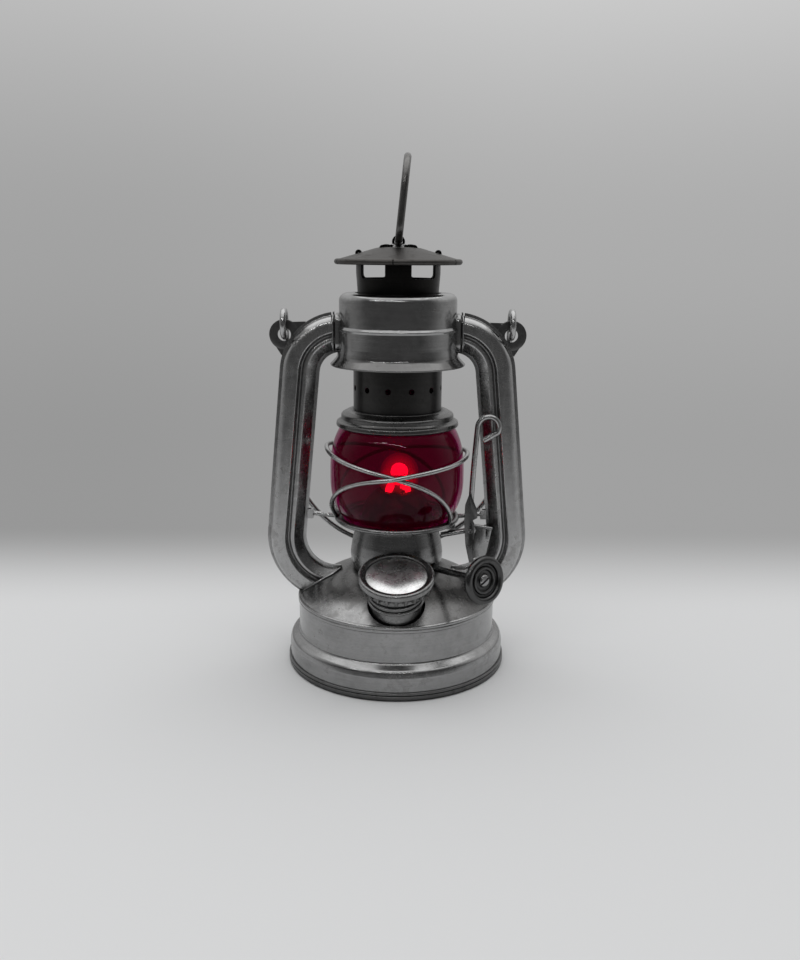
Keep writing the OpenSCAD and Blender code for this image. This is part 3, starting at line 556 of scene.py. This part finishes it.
neck_tube = turned(rounded([(10.4, -8), (10.9, -8), (10.9, 12.2, 0.25), (10.5, 12.5)]), steps=96)
thread_path = [
    (THREAD_R * math.cos(a), THREAD_R * math.sin(a), THREAD_FROM + THREAD_PITCH * a / TURN)
    for a in [TURN * k / THREAD_STEPS for k in range(172)]
]
piece("filler_neck", moved(joined(neck_tube, wire(thread_path, 0.75)), NECK), cup_steel, "frame")

CAP_TEETH = 24
SKIRT_R = 12.9
TEETH_Z, TEETH_REACH = 12.5, 0.9
TEETH_IN, TEETH_DOWN = 1.3, 2.5

cap = turned(rounded([
    (0, 13.9), (12.15, 13.9), (12.15, 9.1), (12.75, 9.1, 0.25), (12.85, 10.2, 0.3), (13.2, 12.2, 0.5),
    (14.9, 12.7, 0.4), (15.6, 13.5, 0.7), (15.6, 15.9, 1.1), (14.4, 16.0, 0.8), (13.0, 15.7, 0.3),
    (12.75, 14.8), (0, 14.8),
]), closed=False, steps=CAP_TEETH * 8)
for v in cap.verts:
    r, a, z = math.hypot(v.co.x, v.co.y), math.atan2(v.co.y, v.co.x), v.co.z / MM
    crimp = max(0.0, 1 - abs(z - TEETH_Z) / TEETH_REACH) if r > SKIRT_R * MM else 0
    if crimp:
        tooth = 0.5 + 0.52 * math.tanh(2 * math.cos(CAP_TEETH * a))
        v.co.x -= crimp * TEETH_IN * (1 - tooth) * MM * math.cos(a)
        v.co.y -= crimp * TEETH_IN * (1 - tooth) * MM * math.sin(a)
        v.co.z -= crimp * TEETH_DOWN * tooth * MM
piece("filler_cap", moved(cap, NECK), cup_steel, "cap")

crown = turned(rounded([
    (0, 14.6), (12.6, 14.6), (12.6, 15.0, 0.15), (12.4, 15.05, 0.1), (9.5, 16.1, 20), (4, 16.8, 50), (0, 16.8),
]), closed=False)
piece("filler_cap_crown", moved(crown, NECK), cap_steel, "cap", node="filler_cap")


# Burner and flame

cup_path = rounded([
    (18.6, CUP_Z), (19.9, 45.2, 5), (20.3, 49, 12), (19.5, 54.4, 12), (17.9, 60.6, 6), (17.8, CUP_TOP),
])
shaft_cut = moved(drill(2.2, 10, 26), SHAFT)
piece("burner_cup", carved(turned(sheet(cup_path)), shaft_cut), cup_steel, "frame")

cone_path = rounded([
    (18.2, CUP_TOP), (18.2, 62.9, 0.2), (15.9, 62.9, 0.6), (15.4, 67, 8), (13.2, 72.4, 8), (9.4, 76.6, 4),
    (7.5, 77.3),
])
piece("burner_cone", turned(sheet(cone_path)), brass, "frame")

KNOB_OUT, SLIT_TURN = 52, 118

knob = turned(rounded([
    (1.5, -2.4), (2.9, -2.4, 0.2), (3.3, -0.7, 0.6), (7.6, -1.0, 0.8), (10.0, -1.0, 1.2), (10.0, 2.0, 1.45),
    (7.0, 2.0, 1.4), (6.8, 0.2, 0.5), (5.9, 0.2, 0.3), (5.5, 1.0, 0.4), (4.6, 1.0, 0.4), (4.1, -0.1, 0.4),
    (2.9, -0.1, 0.2), (2.6, 0.2), (1.5, 0.2),
]), steps=96)
piece("wick_knob", moved(knob, spot(0, 0, KNOB_OUT), SHAFT), knob_steel, "knob")

screw = turned(rounded([
    (0, -4), (1.0, -4), (1.0, 0), (2.5, 0.0), (2.5, 0.9, 0.3), (1.9, 1.35, 0.5), (0, 1.5),
]), closed=False, steps=48)
slit = moved(bar(-3, 3, -0.42, 0.42, 2), spot(0, 0, 0.6), about("Z", SLIT_TURN))
piece("knob_screw", moved(carved(screw, slit), spot(0, 0, KNOB_OUT), SHAFT), tank_steel, "knob")

GLOW_SWELLS = (0.6, 1.3, 2.2, 3.2, 4.4)
FOOT_SWELL = 0.6


def lobe(place, wide, tall, lean, swell):
    """A rounded lobe of flame over the wick, or a glow that stands round it."""
    mesh = bmesh.new()
    bmesh.ops.create_uvsphere(mesh, u_segments=32, v_segments=20, radius=MM)
    size = Matrix.Diagonal((wide + swell, 0.8 * wide + swell, tall + swell, 1))
    return moved(mesh, size, about("Y", lean), spot(*place))


def flame_shape(swell):
    """A round tongue over a body that parts into two feet in front of the wick."""
    return joined(
        lobe((1.0, 0.0, 84.8), 3.8, 3.9, 0, swell),
        lobe((0.6, -1.5, 81.4), 4.2, 2.0, 0, swell),
        lobe((-3.0, -4.0, 78.8), 1.7, 3.2, 24, min(swell, FOOT_SWELL)),
        lobe((3.6, -3.4, 78.6), 2.1, 4.2, -20, min(swell, FOOT_SWELL)),
    )


piece("flame", flame_shape(0), fire, "wick")
for number, swell in enumerate(GLOW_SWELLS):
    piece(f"flame_glow_{number}", flame_shape(swell), glow, "wick")


# Globe and guard

GLOBE_R, GLOBE_BELLY = 28.9, 17.5
TUCK_LOW, TUCK_HIGH = 5.3, 5.9
GLOBE_STEPS = 48
AIR_HOLES = 24


def globe_r(h):
    """The globe's radius at a height above its foot."""
    if h < GLOBE_BELLY:
        return GLOBE_R - TUCK_LOW * (1 - h / GLOBE_BELLY) ** 2.4
    return GLOBE_R - TUCK_HIGH * ((h - GLOBE_BELLY) / (GLOBE_H - GLOBE_BELLY)) ** 3


globe_heights = [GLOBE_H * k / GLOBE_STEPS for k in range(GLOBE_STEPS + 1)]
globe_path = [(globe_r(h), GLOBE_Z + h) for h in globe_heights]
piece("globe", turned(sheet(globe_path, 1.6), steps=144), glass, "globe_carriage")

plate_ring = turned(arc(26.1, 64.9, 1.1, 0, 337.5, 15))
plate_disc = turned(rounded([
    (16.8, 64.2), (26.2, 64.2), (26.2, 64.8), (24.2, 64.8), (24.0, 65.38, 0.15), (22.4, 65.38, 0.15),
    (22.2, 64.8), (16.8, 64.8),
], 3))
air_holes = [
    moved(drill(0.9, 63, 66, steps=16), spot(19.4, 0, 0), Matrix.Rotation(TURN * k / AIR_HOLES, 4, "Z"))
    for k in range(AIR_HOLES)
]
lug = moved(softened(bar(19.1, 25.1, -10.2, -7.8, 2.6), 0.3), spot(0, 0, 61.8))
globe_plate = joined(carved(plate_disc, *air_holes), plate_ring, lug)
piece("globe_plate", globe_plate, cup_steel, "globe_carriage")

GUARD_TOP, GUARD_R, GUARD_WIRE = 96.3, 30.3, 0.95
GUARD_FOOT_Z, GUARD_TOE = 65.6, 4.2
BUMP_SPREAD = 16
EASE, EASED_END = 0.08, 0.923
FEET = {"left": 172, "right": 147}
CROSSING = 180 * FEET["left"] / (FEET["left"] + FEET["right"])


def guard_points(foot, bump, top, fall, steps=150):
    """A guard wire from foot to foot over its high side, bent outwards where it passes over the other one."""
    points = []
    for i in range(-steps // 2, steps // 2 + 1):
        u = abs(i) * 2 / steps
        turn = foot * u
        a = math.radians(180 + turn if i < 0 else 180 - turn)
        r = GUARD_R + bump * math.exp(-(((turn - CROSSING) / BUMP_SPREAD) ** 2)) - GUARD_TOE * u**24
        slope = fall * (math.sqrt(u * u + EASE * EASE) - EASE)
        drop = slope + (top - GUARD_FOOT_Z - EASED_END * fall) * u**6
        points.append((r * math.cos(a), r * math.sin(a), top - drop))
    return points


guard_left = mirrored(wire(guard_points(FEET["left"], 2.3, GUARD_TOP - 2.8, 9), GUARD_WIRE), x=-1)
piece("globe_guard_left", guard_left, wire_steel, "globe_carriage")
guard_right = wire(guard_points(FEET["right"], 0, GUARD_TOP, 13), GUARD_WIRE)
piece("globe_guard_right", guard_right, wire_steel, "globe_carriage")


# Chimney and hood

VENTS = 12
WINDOW_TURNS = (38.5, -38.5, 141.5, -141.5)
NICK_TURNS = (-70, -4.6, 60.6)

holder_path = rounded([
    (25.1, HOLDER_Z), (26.1, 105.9, 0.5), (25.9, 107.4, 0.8), (24.7, 108.0, 0.4), (23.9, 108.7, 0.5),
    (24.0, 110.6, 1.2), (21.6, 111.9, 1.2), (19.7, 112.2, 0.3), (19.6, HOLDER_TOP, 0.15), (18.7, HOLDER_TOP),
])
piece("globe_holder", turned(sheet(holder_path)), holder_steel, "chimney")

vents = [
    moved(drill(1.25, 15, 21), UPRIGHT, spot(0, 0, 122), Matrix.Rotation(TURN * (k + 0.6) / VENTS, 4, "Z"))
    for k in range(VENTS)
]
vent_tube = carved(turned(sheet([(18.7, 111.6), (18.7, 134)]), steps=144), *vents)
piece("chimney_tube", vent_tube, vent_steel, "chimney")

flue_path = rounded([(16.8, 132), (16.8, 160.9, 8), (17.4, 168.9, 8), (17.4, 175.6)])
window = rounded([(-6.2, 6), (-6.2, 0, 1.6), (6.2, 0, 1.6), (6.2, 6)], 5)
windows = [moved(plate(window, 8), UPRIGHT, spot(0, -13, 166.8), about("Z", turn)) for turn in WINDOW_TURNS]
curl = [Vector((17.6, 174.0)), *arc(16.3, 176.9, 1.3, 0, 215, 14)]
tongues = [mirrored(moved(plate(sheet(curl, 1.1), 6), UPRIGHT, spot(0, 3, 0)), x=side) for side in (-1, 1)]
flue = carved(turned(sheet(flue_path), steps=144), *windows)
piece("chimney_top", joined(flue, *tongues), burnt_steel, "chimney")

hood_path = rounded([(25.2, 174.3), (9.2, 178.9, 3), (7.2, HOOD_TOP, 2), (0.05, HOOD_TOP)])
nicks = [moved(bar(25.7, 27, -0.25, 0.25, 4), spot(0, 0, 171.5), about("Z", turn - 90)) for turn in NICK_TURNS]
brim = carved(turned(arc(25.25, 173.45, 1.15, 0, 345, 23)), *nicks)
piece("hood", joined(turned(sheet(hood_path)), brim), hood_steel, "chimney")

sleeve_path = [tuple(p) for p in arc(0, RING_Z, 1.65, 205, -25, 20)]
strap_path = rounded([
    (-7.0, 178.6), (-6.6, 179.15, 0.3), (-2.2, 179.2, 1.2), *sleeve_path,
    (2.2, 179.2, 1.2), (6.6, 179.15, 0.3), (7.0, 178.6),
], 3)
strap = moved(plate(sheet(strap_path, 1.0), 8), UPRIGHT, spot(0, 4, 0))
piece("ring_strap", strap, burnt_steel, "chimney")

lip = softened(plate([(p.x, 1.1 * p.y) for p in arc(0, 0, 2.8, 180, 360, 16)], 0.5), 0.15)
moved(lip, about("X", 22), spot(0, -3.9, 180.3))
piece("ring_strap_lip", lip, wire_steel, "chimney", node="ring_strap")

rivet_path = rounded([(0, 178.4), (0.9, 178.4), (0.9, 180), (1.4, 180.0), (1.3, 180.5, 0.4), (0, 180.7)])
rivets = [moved(turned(rivet_path, closed=False, steps=24), spot(x, 0, -0.2)) for x in (-5, 5)]
piece("strap_rivets", joined(*rivets), burnt_steel, "chimney")

RING_R, RING_FOOT_R, RING_TALL = 12.5, 7.9, 33.4

ring_loop = [
    *arc(RING_R - RING_FOOT_R, RING_FOOT_R, RING_FOOT_R, -90, 0, 14),
    *arc(0, RING_TALL - RING_R, RING_R, 0, 180, 40),
    *arc(-(RING_R - RING_FOOT_R), RING_FOOT_R, RING_FOOT_R, 180, 270, 14),
]
ring = wire([(0, p.x, p.y) for p in ring_loop], 1.5, closed=True, sides=18)
piece("lift_ring", moved(ring, about("Y", 6), spot(0, 0, RING_Z)), ring_steel, "lift_ring")


# Top chamber and side tubes

chamber_path = rounded([
    (28.2, BELL_Z), (28.4, 131.7, 0.2), (25.6, 134.6, 3), (25.0, 138.5, 4), (25.0, 145.4, 0.6),
    (25.45, 146.2, 0.5), (24.6, 147.3, 0.8), (24.6, CHAMBER_TOP, 3.2), (17.9, CHAMBER_TOP),
], 8)


def block(wide, deep, corner, length):
    """A block with rounded corners that lies along X from the chamber's wall, centred on the tube's mouth."""
    outline = [(-wide, -deep, corner), (wide, -deep, corner), (wide, deep, corner), (-wide, deep, corner)]
    return moved(softened(plate(rounded(outline, 8), length), 0.35), ACROSS, spot(23.3, 0, 144.8))


sockets = [mirrored(joined(block(7.7, 6.4, 3.4, 2.6), block(5.8, 4.2, 2, 4.6)), x=side) for side in (-1, 1)]
chamber = joined(turned(sheet(chamber_path), steps=144), *sockets)
piece("top_chamber", chamber, chamber_steel, "frame")

BEND_TOP, BEND_TOP_R = Vector((23.8, 0, 127.2)), 17.6
BEND_FOOT, FOOT_SWEEP = Vector((26.1, 0, 55.8)), math.radians(102)
SPLAY = math.radians(5.45662)
RUN = 71.2952
MOUTH = math.asin(2.8 / BEND_TOP_R)
EAR_X, EAR_Z, EAR_R, EAR_HOLE, EAR_THICK = 47.53, 143.51, 6.3, 2.8, 0.62

half_path = rounded([
    (-8.4, 0.62), (-6.9, 0.62, 0.4), (-6.9, 1.9, 0.8), (-2.6, 5.0, 1.6), (-0.9, 3.3, 0.5), (0.1, 5.7, 0.9),
    (6.9, 5.7, 3.7), (6.9, 0.62, 0.4), (8.4, 0.62),
], 8)


def tube_half():
    """The front half of the tube on the +X side: a pressed sheet swept round both bends."""
    mesh = bmesh.new()
    section = [(BEND_TOP.x, -v, BEND_TOP.z + BEND_TOP_R + u) for u, v in sheet(half_path[::-1])]
    corners, edges = loop_of(mesh, section)
    centre = Matrix.Translation(BEND_TOP * MM)
    moved(mesh, Matrix.Translation(-BEND_TOP * MM), Matrix.Rotation(MOUTH, 4, "Y"), centre)
    sweep = math.pi / 2 - SPLAY - MOUTH
    bend = {"axis": (0, 1, 0), "angle": sweep, "steps": 24}
    ends = bmesh.ops.spin(mesh, geom=corners + edges, cent=BEND_TOP * MM, **bend)["geom_last"]
    lengthened = bmesh.ops.extrude_edge_only(mesh, edges=edges_of(ends))["geom"]
    down = Vector((math.sin(SPLAY), 0, -math.cos(SPLAY))) * RUN * MM
    bmesh.ops.translate(mesh, vec=down, verts=points_of(lengthened))
    last = [g for g in lengthened if not isinstance(g, bmesh.types.BMFace)]
    bmesh.ops.spin(mesh, geom=last, cent=BEND_FOOT * MM, axis=(0, 1, 0), angle=FOOT_SWEEP, steps=36)
    return cleaned(mesh)


def flange():
    """The thin rolled edge of the tube's front half where it meets the chamber, on the +X side."""
    outline = rounded([
        (8.6, 0), (8.6, -0.75), (7.3, -0.75), (7.3, -5.6, 2.9), (-7.3, -6.2, 3.5), (-7.3, -0.75),
        (-8.6, -0.75), (-8.6, 0),
    ], 8)
    return moved(softened(plate(outline, 0.6), 0.2), ACROSS, spot(26.55, 0, 144.55))


def foot_seam():
    """The rolled edge where the tube's front half meets the dome, on the +X side."""
    corners = [(40.5, 5.5), (38, 5.9), (35, 5.8), (32, 5.4), (29, 4.9), (26.5, 3.8), (24.8, 1.4)]
    return wire([(x, -y, dome_z(math.hypot(x, y)) + 0.3) for x, y in corners], 0.5)


def ear():
    """The pierced ear on the upper bend's outer flange, on the +X side."""
    mesh = bmesh.new()
    rim = bmesh.ops.create_circle(mesh, segments=48, radius=EAR_R * MM)["verts"]
    hole = bmesh.ops.create_circle(mesh, segments=48, radius=EAR_HOLE * MM)["verts"]
    bmesh.ops.bridge_loops(mesh, edges=list({e for v in rim + hole for e in v.link_edges}))
    raised = bmesh.ops.extrude_face_region(mesh, geom=mesh.faces[:])
    bmesh.ops.translate(mesh, vec=(0, 0, EAR_THICK * MM), verts=points_of(raised["geom"]))
    moved(softened(cleaned(mesh), 0.15), spot(EAR_X, EAR_Z, 0))
    around = [
        Vector((BEND_TOP.x, BEND_TOP.z)) + Vector((math.cos(math.radians(a)), math.sin(math.radians(a)))) * r
        for r, a in ((26.2, 17), (30.0, 23), (30.4, 45), (26.2, 56), (24.9, 45), (24.7, 35), (24.9, 25))
    ]
    gap = moved(drill(EAR_HOLE, -1, 2, steps=48), spot(EAR_X, EAR_Z, 0))
    return moved(joined(mesh, carved(plate(around, 0.58), gap)), UPRIGHT)


for side, x in (("left", -1), ("right", 1)):
    for half, y in (("front", 1), ("back", -1)):
        tube = f"{side}_tube_{half}"
        shell = mirrored(joined(tube_half(), flange(), foot_seam()), x, y)
        piece(tube, shell, tube_steel, "frame", sharp=50)
        ear_plate = mirrored(ear(), x, y)
        piece(f"{side}_ear_{half}", ear_plate, rim_steel, "frame", node=tube, sharp=50)


# Bail

BAIL_X, BAIL_Z, EYE_R, BAIL_L = 47.5348, 148.062, 5.4, 106.5

eye = arc(0, 0, EYE_R, 300, 0, 40)
bow = arc(0, BAIL_X - BAIL_L, BAIL_X, 180, 360, 60)
bail_points = (
    [(-BAIL_X, p.x, p.y) for p in eye]
    + [(p.x, EYE_R, p.y) for p in bow]
    + [(BAIL_X, p.x, p.y) for p in reversed(eye)]
)
bail = moved(wire(bail_points, 1.25), about("X", 10), spot(0, 0, BAIL_Z))
piece("bail", bail, wire_steel, "bail")


# Lift lever and its catch

LEVER = spot(31.5, -9, 61.4)
LEVER_TALL, LEVER_WIRE, LEVER_STEPS = 45, 1.15, 24
LEAN = math.radians(2.8)
HOOK_R = 4.5
CRANK, CRANK_TILT = 12.6, math.radians(10.6)
LEDGE, LEDGE_TILT = 8.2, math.radians(10)

leg = [
    (LEVER_TALL * math.sin(LEAN) * (k / LEVER_STEPS) ** 1.7, 0, 1.2 + 43.8 * k / LEVER_STEPS)
    for k in range(LEVER_STEPS)
]
hook_x = LEVER_TALL * math.sin(LEAN) + HOOK_R * math.cos(LEAN)
hook_z = LEVER_TALL * math.cos(LEAN) - HOOK_R * math.sin(LEAN)
hook = [(hook_x + p.x, 0, hook_z + p.y) for p in [*arc(0, 0, HOOK_R, 177, -28, 32), Vector((-1.9, -5.6))]]
crank = [(-CRANK * math.cos(CRANK_TILT) * k, 0, -CRANK * math.sin(CRANK_TILT) * k) for k in (0.1, 0.5, 1)]
eye_ring = turned(rounded([(1.06, -1.35), (2.4, -1.35, 0.6), (2.4, 1.35, 0.6), (1.06, 1.35)]), steps=40)
lever = joined(wire(leg + hook, LEVER_WIRE), wire(crank, LEVER_WIRE), moved(eye_ring, UPRIGHT))
piece("lift_lever", moved(lever, LEVER), wire_steel, "lever")

leaf = softened(plate(rounded([
    (-0.9, 16.2, 0.3), (-2.5, 11.5, 5), (-2.7, 4, 12), (-2.0, -6, 20), (-0.2, -14, 0.4), (1.2, -14, 0.4),
    (1.7, -3, 4), (1.7, 3.4, 0.5), (0.9, 4.9, 0.5), (2.9, 6.0, 0.4), (2.7, 9.6, 3), (0.6, 14.6, 3),
    (-0.5, 16.2, 0.2),
], 5), 0.8), 0.22)
apron = softened(plate(rounded([
    (0.9, -13.6), (0.9, -14, 0.2), (7.4, -12.2, 1.5), (9.7, -0.5, 0.6), (1.7, 1.2, 0.4), (0.9, -3.4, 0.4),
], 4), 0.6), 0.15)
moved(leaf, UPRIGHT, spot(31.5, -10.9, 61.4))
moved(apron, UPRIGHT, spot(31.5, -6.2, 61.4))
jog = moved(softened(bar(32.4, 33.2, -11.7, -6.2, 10.6), 0.2), spot(0, 0, 47.4))
ledge_end = (33.2 + LEDGE * math.cos(LEDGE_TILT), -6.5, 62.6 - LEDGE * math.sin(LEDGE_TILT))
ledge = wire([(33.2, -6.5, 62.6), ledge_end], 0.8)
clip = moved(softened(bar(38.33, 40.43, -6.8, -0.62, 5), 0.2), spot(0, 0, 56.4))
piece("catch_leaf", joined(leaf, jog), leaf_steel, "frame", node="lever_catch")
piece("catch_apron", joined(apron, ledge, clip), catch_steel, "frame", node="lever_catch")

rivet = turned(rounded([
    (0, -2.1), (1.5, -2.1), (1.5, -1.7), (1.0, -1.7), (1.0, 2.75, 0.1), (0, 2.78),
]), closed=False, steps=32)
piece("lever_rivet", moved(rivet, UPRIGHT, LEVER), catch_steel, "frame")


# Chimney spring: two lengths, so that both the globe and the chimney may press it

SPRING_FROM, SPRING_MID, SPRING_TO = 135.65, 146.3, 159.65
SPRING_R, SPRING_TURNS = 20.4, 5


def coil(low, high):
    """The spring's wire between two heights."""
    first, last = [SPRING_TURNS * (z - SPRING_FROM) / (SPRING_TO - SPRING_FROM) for z in (low, high)]
    steps = int((last - first) * 40)
    points = []
    for k in range(steps + 1):
        a = TURN * (first + (last - first) * k / steps)
        points.append((SPRING_R * math.cos(a), SPRING_R * math.sin(a), low + (high - low) * k / steps))
    return wire(points, 0.6, sides=10)


lower = piece("chimney_spring_lower", coil(SPRING_FROM, SPRING_MID), wire_steel, node="chimney_spring")
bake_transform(lower)
upper = piece("chimney_spring_upper", coil(SPRING_MID, SPRING_TO), wire_steel, node="chimney_spring")
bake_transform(upper)


# Pieces that keep their CAD shape

for name, material in {
    "tank_partition": cup_steel,
    "burner_collar": brass,
    "burner_plug": brass,
    "shaft_bracket": brass,
    "wick_tube": brass,
    "wick_gears": brass,
    "wick_shaft": cup_steel,
    "wick": cotton,
    "filler_gasket": rubber,
    "guide_arm_left": wire_steel,
    "guide_arm_right": wire_steel,
    "spring_seat": holder_steel,
}.items():
    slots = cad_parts[name].data.materials
    slots.clear()
    slots.append(material)


# Floor and light

VIEW_BACK, VIEW_UP = 0.393697, 0.176991
FLOOR_R = 6


def far_tone(f, across, back, up):
    """Tone of the room in a direction: dark in front up to the lamps, pale behind and paler higher up."""
    front = f.step(up, 0.45, 0.95, 0.1, 0.4)
    low_wall = f.step(up, -0.2, 0.03, 0.335, 0.39)
    wall = (low_wall + f.step(up, 0.0, 0.52, 0.0, 0.375)) * f.step(across, -0.35, 0.2, 0.93, 1.06)
    share = f.step(back, -0.5, 0.35)
    return front * (1 - share) + wall * share


def floor_finish():
    """A pale floor that ends in the room's tone all round, and sooner behind the lantern."""
    f = Finish("floor")
    behind = f.axis("Y")
    far = f.step(f.reach((0, 0, 0)), 0.55, 0.9)
    ends = f.step(behind, 0.05, 0.2).math("MAXIMUM", far).math("MAXIMUM", f.step(behind, -0.22, -0.36))
    away = f.reach((0, -VIEW_BACK, 0))
    tone = far_tone(f, f.axis("X") / away, (behind + VIEW_BACK) / away, -VIEW_UP / away)
    f.set(
        Base_Color=f.mix(ends, (0.75, 0.755, 0.76, 1), BLACK),
        Roughness=0.6,
        Specular_IOR_Level=0.0,
        Emission_Color=f.mix(ends, BLACK, f.colour(tone)),
        Emission_Strength=1.0,
    )
    return f.material


floor_mesh = bmesh.new()
bmesh.ops.create_circle(floor_mesh, cap_ends=True, segments=96, radius=FLOOR_R)
floor = as_object("floor", floor_mesh)
floor.data.materials.append(floor_finish())


def soft_light(name, place, size, power, aim=(0, 0, 0.09)):
    """A rectangular lamp that faces the lantern."""
    data = bpy.data.lights.new(name, "AREA")
    data.shape = "RECTANGLE"
    data.size, data.size_y = size
    data.energy = power
    lamp = bpy.data.objects.new(name, data)
    bpy.context.scene.collection.objects.link(lamp)
    lamp.location = place
    lamp.rotation_euler = (Vector(aim) - Vector(place)).to_track_quat("-Z", "Y").to_euler()


soft_light("overhead", (0.0, 0.0, 0.95), (1.5, 1.2), 4.6)
soft_light("front_strip", (-0.2, -0.52, 0.53), (0.9, 0.01), 0.6)

room = Finish("room", bpy.data.worlds.new("room"))
bpy.context.scene.world = room.material
room.set(Color=room.colour(far_tone(room, room.axis("X"), room.axis("Y"), room.axis("Z"))))


# Camera, fitted to the photograph's frame of 800 by 960

FRAME_TALL, FOCAL, SENSOR = 960, 932.398, 36
PITCH, ROLL, YAW = 0.239, math.atan2(3, 418), math.atan2(3.1, 932.4)

camera = bpy.data.objects.new("camera", bpy.data.cameras.new("camera"))
bpy.context.scene.collection.objects.link(camera)
camera.data.sensor_width = SENSOR
camera.data.lens = SENSOR * FOCAL / FRAME_TALL
tilt = Matrix.Rotation(math.pi / 2 - PITCH, 4, "X") @ Matrix.Rotation(ROLL, 4, "Z")
camera.matrix_world = Matrix.Translation((0, -VIEW_BACK, VIEW_UP)) @ Matrix.Rotation(-YAW, 4, "Z") @ tilt
bpy.context.scene.camera = camera
bpy.context.scene.view_settings.view_transform = "Standard"
